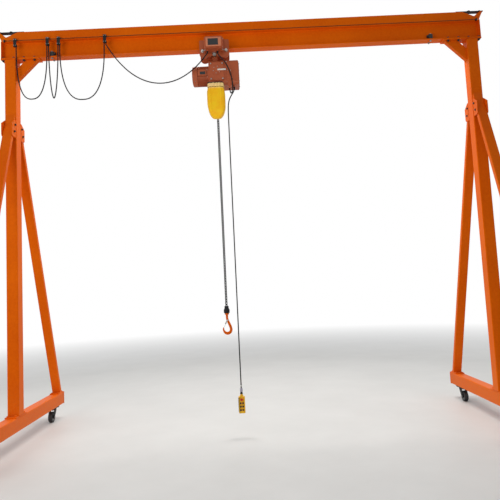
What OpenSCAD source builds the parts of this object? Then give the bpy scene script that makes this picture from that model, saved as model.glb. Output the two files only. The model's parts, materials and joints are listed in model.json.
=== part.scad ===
// Free-standing gantry crane with a motorised chain hoist on a bottom-flange trolley.
// Millimetres. X runs along the span, Y across it, Z up. The origin lies on the floor
// under the middle of the beam.

/* [Span and height] */
// Clear width between the inner faces of the two columns
span_clear = 4900; // [3600:50:6000]
// Height of the beam's underside above the floor
under_beam = 4100; // [3700:10:4600]
// How far the beam runs past the outer face of each column
beam_overhang = 35; // [30:5:80]

/* [Beam] */
// Height of the I-beam
beam_h = 200; // [180:5:240]
// Width of the I-beam's flanges
flange_w = 100; // [90:2:120]
// Thickness of the flanges
flange_t = 10; // [8:1:14]
// Thickness of the web
web_t = 6; // [5:1:10]
// Radius between web and flange
root_r = 8; // [4:1:12]
// Height of the channel that stiffens the beam from above
cap_h = 95; // [80:5:120]
// Wall of the stiffening channel
cap_t = 6; // [5:1:10]
// How far the channel's slanted ends reach past the beam
cap_over = 45; // [30:5:70]
// Depth of the notch near each end of the channel
notch_depth = 55; // [40:5:70]
// Length of the notch's flank towards the middle of the span
notch_in = 125; // [100:5:150]
// Length of the notch's flank towards the end
notch_out = 70; // [50:5:90]
// Flat left on the channel between the notch and its end
notch_land = 25; // [20:1:30]
// Thickness of the plate that closes each end of the beam
end_plate_t = 8; // [6:1:12]
// Width of the flat strap over the notch
strap_w = 50; // [30:5:80]
// Thickness of that strap
strap_t = 8; // [6:1:12]
// How far the strap runs past the notch towards the middle of the span
strap_reach = 60; // [50:5:90]
// How far the strap runs past the channel's end
strap_over = 20; // [5:1:30]
// Height of the spacers under the strap
strap_lift = 10; // [6:1:16]
// Diameter of those spacers
spacer_d = 24; // [18:1:28]
// Diameter of the boss in the strap's middle
lug_d = 34; // [26:2:44]
// Height of that boss above the strap
lug_h = 14; // [8:1:20]

/* [Columns] */
// Side of the square column tube
column_w = 120; // [110:5:140]
// Wall of the column tube
column_wall = 5; // [4:1:8]
// Thickness of the plates at head and foot
plate_t = 12; // [10:1:16]
// Reach of the head plate past the column's inner face
head_reach = 250; // [220:5:300]
// Width of the head plate
head_w = 110; // [100:2:130]
// Length of the foot plate along the base
foot_len = 240; // [200:10:300]
// How far the boxed corner gusset reaches along the beam and down the column
knee_leg = 232; // [200:4:240]
// Depth of the gusset's box, seen from the front
knee_d = 96; // [80:4:110]
// Width of that box across the beam
knee_w = 50; // [40:2:60]
// Wall of that box
knee_t = 5; // [4:1:8]

/* [Base] */
// Length of each base beam
base_len = 2440; // [2000:20:2800]
// Width of the base tube
base_w = 120; // [110:5:140]
// Height of the base tube
base_h = 140; // [120:5:160]
// Wall of the base tube
base_wall = 5; // [4:1:8]
// Thickness of the plates that close the base tube's ends
cap_plate_t = 5; // [4:1:8]

/* [Braces] */
// Width of a brace tube along the span
brace_w = 100; // [80:5:110]
// Thickness of a brace tube
brace_d = 50; // [40:5:60]
// Wall of a brace tube
brace_wall = 4; // [3:1:5]
// Height at which the braces meet the column
brace_top = 3330; // [2800:10:3450]
// Distance of a brace's foot from the end of the base
brace_inset = 70; // [60:5:300]
// Thickness of the foot plate welded to a brace
brace_foot_t = 10; // [8:1:14]
// Length of that foot plate
brace_foot_len = 150; // [140:5:200]
// Height of the ears that take the braces
bracket_h = 190; // [160:5:220]
// Thickness of those ears
ear_t = 8; // [6:1:10]
// Reach of those ears from the column's face
ear_reach = 92; // [80:2:110]

/* [Casters] */
// Overall height of a caster
caster_h = 170; // [165:1:200]
// Diameter of a caster wheel
wheel_d = 125; // [100:1:130]
// Width of a caster wheel
wheel_w = 45; // [36:1:50]
// How far the wheel trails behind the swivel axis
trail = 38; // [20:1:45]
// Distance of a caster's swivel axis from the end of the base
caster_inset = 220; // [120:5:300]
// Length of the caster's top plate
caster_plate_l = 140; // [120:5:160]
// Width of the caster's top plate
caster_plate_w = 110; // [100:5:115]
// Thickness of the caster's top plate
caster_plate_t = 8; // [6:1:10]

/* [Trolley] */
// Place of the trolley along the span, from the middle
trolley_x = -300; // [-600:10:600]
// Length of a trolley side plate
side_len = 320; // [280:5:360]
// Thickness of a trolley side plate
side_t = 8; // [6:1:12]
// Gap between a side plate and the edge of the flange
side_gap = 12; // [8:1:16]
// Height of a side plate above the beam's underside
side_above = 96; // [80:2:110]
// Depth of a side plate under the beam's underside
side_below = 108; // [90:2:120]
// Diameter of a trolley wheel's tread
tread_d = 84; // [70:2:90]
// Distance between the axles
axle_pitch = 170; // [150:5:200]
// Distance between the two tie bars
tie_pitch = 254; // [220:2:270]
// Diameter of the tie bars
tie_d = 20; // [14:1:22]
// Diameter of the bar that carries the hoist
load_bar_d = 30; // [24:1:34]
// Width of the trolley motor's housing
drive_w = 204; // [160:4:240]
// Height of the trolley motor's housing
drive_h = 134; // [110:2:150]
// Depth of the trolley motor's housing
drive_d = 120; // [90:5:160]
// Length of the rubber travel stops
stop_len = 40; // [30:5:60]
// Distance of the travel stops from the column's inner face
stop_inset = 385; // [360:5:600]

/* [Hoist] */
// Drop from the beam's underside to the top of the hoist
hoist_drop = 147; // [130:1:170]
// Height of the hoist's housing
hoist_h = 272; // [240:4:300]
// Depth of the gear housing
gear_d = 236; // [200:4:260]
// Length of the gear housing along the span
gear_w = 176; // [150:2:200]
// Length of the motor along the span
motor_len = 178; // [150:2:220]
// Diameter of the motor
motor_d = 214; // [180:2:220]
// Length of the control box along the span
control_w = 150; // [120:2:180]
// Size of the chain bag along the span
bag_w = 200; // [160:4:220]
// Depth of the chain bag
bag_d = 150; // [110:2:160]
// Height of the chain bag
bag_h = 378; // [300:2:420]
// Distance of the bag's middle in front of the chain
bag_off = 132; // [120:2:150]

/* [Hook and chain] */
// Height of the top of the hook block above the floor
block_z = 1326; // [900:2:1800]
// Height of the hook block
block_h = 74; // [60:2:90]
// Width of the hook block
block_w = 62; // [50:2:70]
// Diameter of the chain's steel
chain_d = 9; // [7:1:10]
// Pitch of the chain's links
chain_pitch = 27; // [24:1:32]
// Radius of the hook's bowl, to the middle of the steel
hook_r = 38; // [34:1:44]
// Diameter of the hook's steel in the bowl
hook_d = 28; // [22:1:30]
// Length of the hook from the block's underside to the bottom of the bowl
hook_l = 225; // [210:1:260]

/* [Cables] */
// Diameter of the festoon cable
festoon_d = 12; // [10:1:14]
// Diameter of the wire that carries the festoon
wire_d = 5; // [4:1:6]
// Depth of the cable loops under their clamps
loop_drop = 590; // [400:10:640]
// Depth of the last loop, which follows the trolley
lead_drop = 498; // [420:2:560]
// Diameter of the pendant's cable
pendant_cable_d = 12; // [10:1:14]
// Width of the pendant
pendant_w = 66; // [56:2:76]
// Depth of the pendant
pendant_t = 54; // [46:2:60]
// Length of the pendant
pendant_l = 190; // [160:5:240]
// Height of the pendant's lower end above the floor
pendant_z = 240; // [150:10:600]
// Distance of the pendant from the chain along the span
pendant_off = 115; // [105:1:120]
// Distance of the first festoon hanger from the column's middle
hanger_in = 60; // [40:5:90]
// Width of the first cable loop, with its hanger
loop_1 = 350; // [300:10:360]
// Width of the second cable loop, with its hanger
loop_2 = 120; // [110:5:150]
// Width of the third cable loop, with its hanger
loop_3 = 500; // [400:10:520]
// How much deeper the third loop hangs than the others
loop_3_more = 30; // [0:5:60]

/* [Hidden] */
$fn = 48;
eps = 0.01;
run_gap = 0.3;

column_x = (span_clear + column_w) / 2;
beam_half = span_clear / 2 + column_w + beam_overhang;
base_top = caster_h + base_h;
beam_top = under_beam + beam_h;
cap_top = beam_top + cap_h;
column_foot_z = base_top + plate_t;
column_head_z = under_beam - plate_t;
cap_half = beam_half + cap_over;
notch_x = cap_half - notch_land - notch_out;
brace_foot_y = base_len / 2 - brace_inset;
brace_head_y = column_w / 2 + brace_d / 2;
caster_y = base_len / 2 - caster_inset;
axle_z = wheel_d / 2;

side_in = flange_w / 2 + side_gap;
side_out = side_in + side_t;
tread_z = under_beam + flange_t + tread_d / 2 + run_gap;
tie_z = under_beam - tie_d / 2 - 16;
load_bar_z = under_beam - 62;
hoist_top = under_beam - hoist_drop;
hoist_bot = hoist_top - hoist_h;
hoist_mid = (hoist_top + hoist_bot) / 2;
chain_x = trolley_x + 5;
gear_x0 = chain_x - gear_w * 0.42;
gear_x1 = gear_x0 + gear_w;
guide_h = 36;
chain_bend = chain_d * 1.16;
link_w = 2 * chain_bend + chain_d;
guide_bore = link_w + 4;
funnel_l = 20;
chain_foot = block_z - funnel_l + run_gap;
links = round((hoist_bot + 60 - chain_foot) / chain_pitch);
chain_head = chain_foot + links * chain_pitch + 2 * chain_d;
pendant_x = chain_x + pendant_off;
pendant_y = -60;
gland_x = gear_x1 + 90;
cable_gland_x = gear_x1 + 40;
cable_gland_y = -50;
gland_l = 18;
gland_d = 26;
motor_gap = 14;
motor_y = -side_out - motor_gap - drive_d / 2;
motor_low = under_beam + 12 - drive_h / 2;
motor_gland_l = 12;
hoist_cable_x = trolley_x + 38;
wire_y = -(flange_w / 2 + 14);
wire_z = beam_top - 6;
clamp_z = wire_z - 52;

// Route of the pendant's cable, from the gland under the control box down to the pendant.
pendant_route = [
    [-103, -60, 3663], [-103, -60, 3642], [-114, -60, 3608], [-138, -60, 3574], [-160, -60, 3534],
    [-174, -60, 3484], [-179, -60, 3420], [-180, -60, 3300], [-180, -60, 3000], [-180, -60, 2400],
    [-180, -60, 1800], [-180, -60, 1200], [-180, -60, 800], [-180, -60, 600], [-180, -60, 500],
    [-180, -60, 430]
];

// Route of the cable from the trolley's motor to the control box. It falls past the hoist's front,
// measured from the middle of the trolley and the top of the hoist, and turns up into its gland,
// measured from the hoist's underside.
hoist_cable_fall = [
    [38, -144, 60], [50, -146, 30], [82, -148, -4], [114, -148, -48], [138, -148, -96],
    [158, -148, -152]
];
hoist_cable_turn = [
    [173, -148, 60], [181, -147, 10], [182, -146, -28], [180, -140, -64], [175, -124, -88],
    [168, -102, -99], [160, -78, -90], [153, -60, -68], [148, -51, -42], [147, -50, -30]
];

// Festoon hangers along the wire, from the left end of the beam, and the cable's end at the trolley.
hanger_x = [for (gap = [0, loop_1, loop_1 + loop_2, loop_1 + loop_2 + loop_3]) gap - column_x + hanger_in];
hanger_w = 34;
loop_full = [0.78, 1.1, 0.8];
saddle_z = clamp_z - 20;
lead_end = [trolley_x - 70, motor_y, motor_low - motor_gland_l];

paint = [0.86, 0.30, 0.08];
hoist_paint = [0.72, 0.36, 0.20];
dark = [0.10, 0.10, 0.11];
bag_yellow = [0.95, 0.72, 0.10];

// Helpers

// A box centred on X and Y that stands on z = 0.
module post(w, d, h) {
    translate([-w / 2, -d / 2, 0]) cube([w, d, h]);
}

// A rectangular tube with rolled corners that stands on z = 0 and is open at both ends.
module tube(w, d, h, wall) {
    linear_extrude(h) difference() {
        round_rect(w, d, 2 * wall);
        round_rect(w - 2 * wall, d - 2 * wall, wall);
    }
}

// A square with rounded corners, centred.
module round_rect(w, h, r) {
    union() {
        square([w - 2 * r, h], center = true);
        square([w, h - 2 * r], center = true);
        for (x = [-1, 1], y = [-1, 1])
            translate([x * (w / 2 - r), y * (h / 2 - r)]) circle(r = r);
    }
}

// A flat outline in X and Z, given its thickness along Y and centred there.
module upright(t) {
    rotate([90, 0, 0]) translate([0, 0, -t / 2]) linear_extrude(t) children();
}

// A rod along Y, centred.
module cross_rod(d, len) {
    rotate([90, 0, 0]) translate([0, 0, -len / 2]) cylinder(d = d, h = len);
}

// The hyperbolic cosine, and the catenary parameter for a half span and a depth.
function cosh(x) = (exp(x) + exp(-x)) / 2;
function cat_a(w, d, lo, hi, n) =
    n == 0 ? (lo + hi) / 2
    : let (m = (lo + hi) / 2, deep = m * (cosh(w / m) - 1) > d)
        cat_a(w, d, deep ? m : lo, deep ? hi : m, n - 1);

// A point on a catenary, at arc length s from its lowest point.
function cat_point(a, s) = [a * ln(s / a + sqrt(pow(s / a, 2) + 1)), sqrt(a * a + s * s) - a];

// One side of a hanging loop, from the lowest point up, with n steps.
function cat_side(w, d, n) =
    let (a = cat_a(w, d, w / 12, w * 8, 40), s_end = sqrt(d * d + 2 * a * d))
    [for (i = [0 : n]) cat_point(a, s_end * i / n)];

// Where the lowest point of a slack cable falls between two ends that hang at unlike heights.
function low_x(w, dl, dr, lo, hi, n) =
    n == 0 ? (lo + hi) / 2
    : let (
            m = (lo + hi) / 2,
            al = cat_a(m, dl, m / 12, m * 8, 30),
            ar = cat_a(w - m, dr, (w - m) / 12, (w - m) * 8, 30)
        )
        low_x(w, dl, dr, al > ar ? lo : m, al > ar ? m : hi, n - 1);

// A loop between two ends, depth under the left one, that leaves both of them straight down.
function loop_points(left, right, depth, n) =
    let (
        lead_in = 14,
        l = left - [0, 0, lead_in],
        r = right - [0, 0, lead_in],
        dl = depth - lead_in,
        dr = dl - l[2] + r[2],
        w = r[0] - l[0],
        x = low_x(w, dl, dr, w * 0.2, w * 0.8, 30),
        ls = cat_side(x, dl, n),
        rs = cat_side(w - x, dr, n),
        low_z = l[2] - dl,
        way = function (px) l[1] + (r[1] - l[1]) * (px - l[0]) / w
    )
    concat(
        [left],
        [for (i = [n : -1 : 0]) let (px = l[0] + x - ls[i][0]) [px, way(px), low_z + ls[i][1]]],
        [for (i = [1 : n]) let (px = l[0] + x + rs[i][0]) [px, way(px), low_z + rs[i][1]]],
        [right]
    );

// A round bar swept along a route. Its size is one number, or one for each point of the route, and
// its rings are carried along without a twist.
function unit(v) = v / norm(v);
function along(p, i) = unit(p[min(i + 1, len(p) - 1)] - p[max(i - 1, 0)]);
function size_at(d, i) = is_list(d) ? d[i] : d;
function carried(u, t) = unit(u - (u * t) * t);
module sweep(p, d, sides = 8) {
    n = len(p);
    sideways = [
        for (i = 0, u = unit(cross(along(p, 0), [0, 1, 0]));
            i < n;
            i = i + 1, u = i < n ? carried(u, along(p, i)) : u) u
    ];
    rings = [
        for (i = [0 : n - 1])
            let (u = sideways[i], v = cross(along(p, i), u))
            for (k = [0 : sides - 1])
                let (g = 360 * k / sides) p[i] + size_at(d, i) / 2 * (cos(g) * u + sin(g) * v)
    ];
    faces = concat(
        [[for (k = [0 : sides - 1]) k]],
        [for (i = [0 : n - 2], k = [0 : sides - 1])
            let (j = (k + 1) % sides)
            [i * sides + k, (i + 1) * sides + k, (i + 1) * sides + j, i * sides + j]],
        [[for (k = [sides - 1 : -1 : 0]) (n - 1) * sides + k]]
    );
    polyhedron(points = rings, faces = faces, convexity = 6);
}

// Beam

module beam_outline() {
    union() {
        translate([-flange_w / 2, 0]) square([flange_w, flange_t]);
        translate([-flange_w / 2, beam_h - flange_t]) square([flange_w, flange_t]);
        translate([-web_t / 2, 0]) square([web_t, beam_h]);
        for (s = [-1, 1], top = [0, 1])
            translate([s * web_t / 2, top ? beam_h - flange_t : flange_t])
                mirror([s < 0 ? 1 : 0, 0]) mirror([0, top])
                difference() {
                    translate([-eps, -eps]) square(root_r + eps);
                    translate([root_r, root_r]) circle(r = root_r);
                }
    }
}

module main_beam() {
    color(paint) translate([-beam_half, 0, under_beam]) rotate([90, 0, 90])
        linear_extrude(2 * beam_half) beam_outline();
}

module beam_cap() {
    color(paint) difference() {
        translate([-cap_half, -flange_w / 2, beam_top]) cube([2 * cap_half, flange_w, cap_h]);
        translate([-cap_half - 1, -flange_w / 2 + cap_t, beam_top - 1])
            cube([2 * cap_half + 2, flange_w - 2 * cap_t, cap_h - cap_t + 1]);
        for (s = [0, 1]) mirror([s, 0, 0]) {
            translate([notch_x, 0, cap_top]) upright(flange_w + 2)
                polygon([
                    [-notch_in, 0], [-notch_in, 1], [notch_out, 1], [notch_out, 0], [0, -notch_depth]
                ]);
            translate([beam_half, 0, beam_top]) upright(flange_w + 2)
                polygon([
                    [0, 0], [cap_over, cap_h], [cap_over, cap_h + 1],
                    [cap_over + 1, cap_h + 1], [cap_over + 1, -1], [0, -1]
                ]);
        }
    }
}

module beam_end(s) {
    color(paint) translate([s * (beam_half + end_plate_t / 2), 0, under_beam])
        post(end_plate_t, flange_w, beam_h);
}

// The strap over the notch: a flat bar on two spacers, with a turned boss in its middle.
module end_strap(s) {
    x0 = notch_x - notch_in - strap_reach;
    x1 = cap_half + strap_over;
    lip = 4;
    color(dark) mirror([s < 0 ? 1 : 0, 0, 0]) translate([0, 0, cap_top]) union() {
        for (x = [x0 + spacer_d * 0.75, cap_half - spacer_d / 2])
            translate([x, 0, 0]) cylinder(d = spacer_d, h = strap_lift + 1);
        translate([x0, -strap_w / 2, strap_lift]) cube([x1 - x0, strap_w, strap_t]);
        translate([(x0 + x1) / 2, 0, strap_lift + strap_t]) rotate_extrude() polygon([
            [0, -1], [lug_d / 2 + lip, -1], [lug_d / 2 + lip, 2], [lug_d / 2, lip], [lug_d / 2, lug_h - 2],
            [lug_d / 2 - 2, lug_h], [0, lug_h]
        ]);
    }
}

// Columns

module column(s) {
    color(paint) translate([s * column_x, 0, 0]) union() {
        translate([0, 0, column_foot_z])
            tube(column_w, column_w, column_head_z - column_foot_z, column_wall);
        translate([0, 0, base_top]) post(base_w, foot_len, plate_t);
    }
}

module head_plate(s) {
    x0 = column_x - column_w / 2 - head_reach;
    x1 = beam_half + end_plate_t;
    color(paint) translate([s > 0 ? x0 : -x1, -head_w / 2, column_head_z]) cube([x1 - x0, head_w, plate_t]);
}

// A mitred slice through the corner, between two lines that cut both legs at these lengths.
module mitred(near, far, past = 0) {
    polygon([[past, -near], [past, -far - past], [-far - past, past], [-near, past]]);
}

module knee_gusset(s) {
    across = sqrt(2);
    near = knee_leg - knee_d * across;
    color(paint) mirror([s < 0 ? 1 : 0, 0, 0]) translate([span_clear / 2, 0, column_head_z]) difference() {
        upright(knee_w) mitred(near, knee_leg);
        upright(knee_w - 2 * knee_t) mitred(near + knee_t * across, knee_leg - knee_t * across, 1);
    }
}

// Base

module base_beam(s) {
    color(paint) translate([s * column_x, -base_len / 2, caster_h + base_h / 2]) rotate([-90, 0, 0])
        tube(base_w, base_h, base_len, base_wall);
}

module base_end_caps() {
    color(paint) for (sx = [-1, 1], sy = [-1, 1])
        translate([sx * column_x, sy * (base_len / 2 + cap_plate_t / 2), caster_h])
            post(base_w, cap_plate_t, base_h);
}

// Braces

module brace(sx, sy) {
    z0 = base_top + brace_foot_t;
    dy = brace_foot_y - brace_head_y;
    dz = brace_top - z0;
    lean = atan(dy / dz);
    color(paint) translate([sx * column_x, 0, 0]) mirror([0, sy < 0 ? 1 : 0, 0]) union() {
        difference() {
            translate([0, brace_foot_y, z0]) rotate([lean, 0, 0]) translate([0, 0, -2 * brace_d])
                tube(brace_w, brace_d, norm([dy, dz]) + 6 * brace_d, brace_wall);
            translate([-brace_w, 0, z0 - base_len]) cube([2 * brace_w, base_len, base_len]);
            translate([-brace_w, -base_len, 0]) cube([2 * brace_w, base_len + column_w / 2, 2 * brace_top]);
        }
        translate([0, brace_foot_y - brace_foot_len * 0.12, base_top])
            post(base_w - 6, brace_foot_len, brace_foot_t);
    }
}

// Four ears welded to the front and back of a column, a pair to each brace.
module brace_bracket(s) {
    tip = 26;
    color(paint) for (e = [-1, 1], f = [-1, 1])
        translate([s * column_x + e * (brace_w + ear_t) / 2, 0, brace_top]) mirror([0, f < 0 ? 1 : 0, 0])
            rotate([90, 0, 90]) translate([0, 0, -ear_t / 2]) linear_extrude(ear_t) union() {
                polygon([
                    [column_w / 2, -bracket_h * 0.6], [column_w / 2, bracket_h * 0.4],
                    [column_w / 2 + 18, bracket_h * 0.4], [column_w / 2 + ear_reach, tip],
                    [column_w / 2 + ear_reach, -bracket_h * 0.6 + tip],
                    [column_w / 2 + ear_reach - tip, -bracket_h * 0.6]
                ]);
                translate([column_w / 2 + ear_reach - tip, -bracket_h * 0.6 + tip]) circle(r = tip);
            }
}

// Travel stops: a block bolted on the flange on each side of the web, with a rubber buffer.
module travel_stops() {
    x = span_clear / 2 - stop_inset;
    y0 = web_t / 2 + root_r + 1;
    stop_w = flange_w / 2 - 2 - y0;
    stop_h = 52;
    color(dark) for (s = [-1, 1], f = [-1, 1])
        translate([s * x, f * (y0 + stop_w / 2), under_beam + flange_t]) union() {
            post(stop_len, stop_w, stop_h);
            translate([-s * stop_len / 2, 0, stop_h - 20]) rotate([0, -s * 90, 0]) cylinder(d = 30, h = 16);
        }
}

// Festoon

module festoon_wire() {
    arm = 26;
    color(dark) union() {
        translate([-beam_half + 30, wire_y, wire_z]) rotate([0, 90, 0])
            cylinder(d = wire_d, h = 2 * beam_half - 60);
        for (s = [-1, 1])
            translate([s * (beam_half - 36), wire_y, wire_z - arm / 2])
                translate([-5, -8, 0]) cube([10, 8 - wire_y - flange_w / 2, arm]);
    }
}

// Hangers: a plate beside the wire, on two grooved rollers, with a saddle that grips the cable.
module festoon_hangers() {
    groove_r = 6;
    rim_r = 9;
    roller_z = wire_z + wire_d / 2 + groove_r + run_gap;
    plate_y = wire_y - 10;
    color(dark) for (x = hanger_x) translate([x, 0, 0]) union() {
        for (e = [-1, 1]) translate([e * 9.5, plate_y, roller_z]) rotate([-90, 0, 0])
            rotate_extrude() polygon([
                [0, 0], [rim_r, 3], [rim_r, 5], [groove_r, 8],
                [groove_r, 12], [rim_r, 15], [rim_r, 17], [0, 17]
            ]);
        translate([0, plate_y, clamp_z - 10]) post(hanger_w, 4, roller_z + rim_r - clamp_z + 10);
        translate([0, wire_y, saddle_z + hanger_w / 2]) cross_rod(hanger_w, 22);
        translate([0, wire_y, saddle_z]) post(hanger_w, 22, 12);
    }
}

// A stiff cable's loop between two ends at one height. It hangs fuller than a catenary.
function stiff_loop(left, right, depth, full, n) = [
    for (i = [0 : 2 * n]) let (g = 90 * i / n, c = cos(g), w = (right[0] - left[0]) / 2)
        [left[0] + w - sign(c) * w * pow(abs(c), full), left[1], left[2] - depth * pow(abs(sin(g)), full)]
];

module festoon_loops() {
    color(dark) for (i = [0 : 2]) {
        left = [hanger_x[i] + 9, wire_y, saddle_z];
        right = [hanger_x[i + 1] - 9, wire_y, saddle_z];
        sweep(stiff_loop(left, right, loop_drop + (i == 2 ? loop_3_more : 0), loop_full[i], 10), festoon_d);
    }
}

module festoon_lead() {
    color(dark) sweep(loop_points([hanger_x[3] + 9, wire_y, saddle_z], lead_end, lead_drop, 12), festoon_d);
}

// Trolley

module side_outline() {
    lobe = 50;
    difference() {
        union() {
            translate([-side_len / 2 + 14, side_above - 60]) square([side_len - 28, 60]);
            translate([-side_len / 2, -side_below + lobe])
                square([side_len, side_above + side_below - lobe - 14]);
            for (e = [-1, 1]) {
                translate([e * (side_len / 2 - lobe), -side_below + lobe]) circle(r = lobe);
                translate([e * (side_len / 2 - 14), side_above - 14]) circle(r = 14);
            }
            translate([-side_len / 2 + lobe, -side_below + 20]) square([side_len - 2 * lobe, 60]);
        }
        translate([0, -side_below - 12]) circle(r = 46);
    }
}

module trolley_plate(s) {
    color(hoist_paint) translate([trolley_x, s * (side_in + side_t / 2), under_beam]) difference() {
        upright(side_t) side_outline();
        for (e = [-1, 1]) {
            translate([e * tie_pitch / 2, 0, tie_z - under_beam]) cross_rod(tie_d + 0.4, side_t + 2);
            translate([e * axle_pitch / 2, 0, tread_z - under_beam]) cross_rod(24.4, side_t + 2);
        }
        translate([0, 0, load_bar_z - under_beam]) cross_rod(load_bar_d + 0.4, side_t + 2);
    }
}

// A trolley wheel: a tread on the flange, a rim outside the flange's edge and a dished web.
module trolley_wheels() {
    face = 28;
    z0 = flange_w / 2 + 1.5 - face;
    z1 = flange_w / 2 + 1.5;
    rim_w = 6;
    rim_h = 8;
    r = tread_d / 2;
    color(dark) for (e = [-1, 1], s = [-1, 1])
        translate([trolley_x + e * axle_pitch / 2, 0, tread_z]) rotate([s * 90, 0, 0])
            rotate_extrude() polygon([
                [0, z0 + 2], [16, z0 + 2], [18, z0 + 8], [r - 12, z0 + 8], [r - 9, z0], [r - 1.5, z0],
                [r, z0 + 1.5], [r, z1], [r + rim_h - 2, z1], [r + rim_h, z1 + 2],
                [r + rim_h, z1 + rim_w], [20, z1 + rim_w], [18, z1 + rim_w + 3], [12, z1 + rim_w + 3],
                [12, side_out + 3], [0, side_out + 3]
            ]);
}

module trolley_bars() {
    color("silver") translate([trolley_x, 0, 0]) {
        for (e = [-1, 1]) translate([e * tie_pitch / 2, 0, tie_z]) cross_rod(tie_d, 2 * side_out + 24);
        translate([0, 0, load_bar_z]) cross_rod(load_bar_d, 2 * side_out + 16);
    }
}

// The travel motor: a gear housing against the side plate, and a deep moulded cover in front.
module trolley_motor() {
    boss_d = 100;
    back_d = 44;
    seam = 4;
    lug_w = 20;
    lug_in = 7;
    mid_z = motor_low + drive_h / 2;
    y0 = motor_y - drive_d / 2;
    color(hoist_paint) union() {
        translate([trolley_x, y0 + drive_d - back_d / 2, mid_z]) upright(back_d)
            round_rect(drive_w, drive_h, 18);
        translate([trolley_x, y0 + (drive_d - back_d) / 2 + 6, mid_z]) upright(drive_d - back_d - 4 + seam)
            round_rect(drive_w - 6, drive_h - 6, 26);
        translate([trolley_x, y0 + 6, mid_z]) upright(12) round_rect(drive_w - 24, drive_h - 24, 20);
        for (x = [-1, 1], z = [-1, 1])
            translate([trolley_x, y0 + drive_d - back_d / 2 - 4, mid_z])
                translate([x * (drive_w / 2 - lug_in), 0, z * (drive_h / 2 - lug_in)])
                cross_rod(lug_w, back_d + 8);
        translate([trolley_x, -side_out - motor_gap / 2, mid_z]) cross_rod(boss_d, motor_gap);
        for (x = [lead_end[0], hoist_cable_x])
            translate([x, motor_y, lead_end[2]]) cylinder(d = 20, h = 30);
    }
}

// Hoist

module hoist_hanger() {
    eye_d = load_bar_d + 28;
    eye_t = 44;
    foot_l = 120;
    foot_w = 90;
    foot_t = 14;
    color(hoist_paint) translate([trolley_x, 0, 0]) difference() {
        union() {
            translate([0, 0, load_bar_z]) cross_rod(eye_d, eye_t);
            translate([0, 0, hoist_top]) post(eye_d, eye_t, load_bar_z - hoist_top);
            translate([0, 0, hoist_top]) post(foot_l, foot_w, foot_t);
            for (e = [-1, 1])
                translate([0, e * (eye_t / 2 + 5), hoist_top]) post(eye_d - 16, 10, foot_t + 24);
        }
        translate([0, 0, load_bar_z]) cross_rod(load_bar_d + 0.4, eye_t + 2);
    }
}

// The gear housing: a rounded casting with a raised cover front and back, bosses at its corners
// and a pocket for the chain over the guide.
module hoist_gearcase() {
    cover_t = 9;
    mid_x = (gear_x0 + gear_x1) / 2;
    color(hoist_paint) difference() {
        union() {
            translate([gear_x0, 0, hoist_mid]) rotate([90, 0, 90])
                linear_extrude(gear_w) round_rect(gear_d - 2 * cover_t, hoist_h, 34);
            translate([mid_x, 0, hoist_mid + 6]) upright(gear_d) round_rect(gear_w - 26, hoist_h - 74, 24);
            translate([mid_x, 0, hoist_mid + 22]) upright(gear_d + 10) circle(d = 96);
            for (x = [-1, 1], z = [-1, 1])
                translate([mid_x + x * (gear_w / 2 - 26), 0, hoist_mid + 6 + z * (hoist_h / 2 - 52)])
                    cross_rod(22, gear_d + 8);
        }
        translate([chain_x, 0, hoist_bot - 1])
            cylinder(d = guide_bore, h = chain_head + run_gap - hoist_bot + 1);
    }
}

// The motor: a flange, a finned barrel, a terminal box in front and a domed fan cover.
module hoist_motor() {
    fins = 40;
    fin_h = 9;
    fin_t = 3;
    flange_l = 14;
    cover_l = 52;
    edge_r = 14;
    box_h = 68;
    box_out = 6;
    box_deep = 30;
    box_gap = 8;
    barrel_d = motor_d - 2 * fin_h;
    barrel_l = motor_len - cover_l - flange_l;
    color(hoist_paint) translate([gear_x0, 0, hoist_mid]) rotate([0, -90, 0]) union() {
        cylinder(d = motor_d, h = flange_l);
        translate([0, 0, flange_l - eps]) linear_extrude(barrel_l + 2 * eps) union() {
            circle(d = barrel_d);
            for (i = [0 : fins - 1]) rotate((i + 0.5) * 360 / fins)
                translate([barrel_d / 2 - 2, -fin_t / 2]) square([fin_h + 1, fin_t]);
        }
        translate([0, 0, motor_len - cover_l]) rotate_extrude(convexity = 4) union() {
            square([motor_d / 2 - edge_r, cover_l]);
            square([motor_d / 2, cover_l - edge_r]);
            translate([motor_d / 2 - edge_r, cover_l - edge_r]) circle(r = edge_r);
        }
        translate([-box_h / 2, -motor_d / 2 - box_out, flange_l + box_gap])
            cube([box_h, box_deep, barrel_l - 2 * box_gap]);
    }
}

// The control box: a deep cover with ribs on its end, two glands under it and the plate in front
// that its cables are tied to.
module hoist_control_box() {
    rib_t = 5;
    rib_h = 3;
    seam_l = 12;
    box_d = gear_d - 16;
    plate_w = 48;
    plate_h = 206;
    plate_d = 6;
    gland_neck = 4;
    color(hoist_paint) union() {
        translate([gear_x1, 0, hoist_mid]) rotate([90, 0, 90]) union() {
            linear_extrude(seam_l) round_rect(box_d + 8, hoist_h, 44);
            linear_extrude(control_w - 8) round_rect(box_d, hoist_h, 40);
            linear_extrude(control_w - 3) round_rect(box_d - 20, hoist_h - 20, 32);
            for (i = [-3 : 3]) translate([0, i * 30, control_w - 3 - eps])
                linear_extrude(rib_h + eps) square([box_d - 60, rib_t], center = true);
        }
        translate([gear_x1 + 18, -box_d / 2 - plate_d, hoist_bot - 46])
            cube([plate_w, plate_d + eps, plate_h]);
    }
    color(dark) for (g = [[gland_x, pendant_y], [cable_gland_x, cable_gland_y]])
        translate([g[0], g[1], hoist_bot - gland_l]) union() {
            cylinder(d1 = gland_d - 8, d2 = gland_d, h = gland_l);
            translate([0, 0, gland_l - eps]) cylinder(d = gland_d - 4, h = gland_neck);
        }
}

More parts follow.
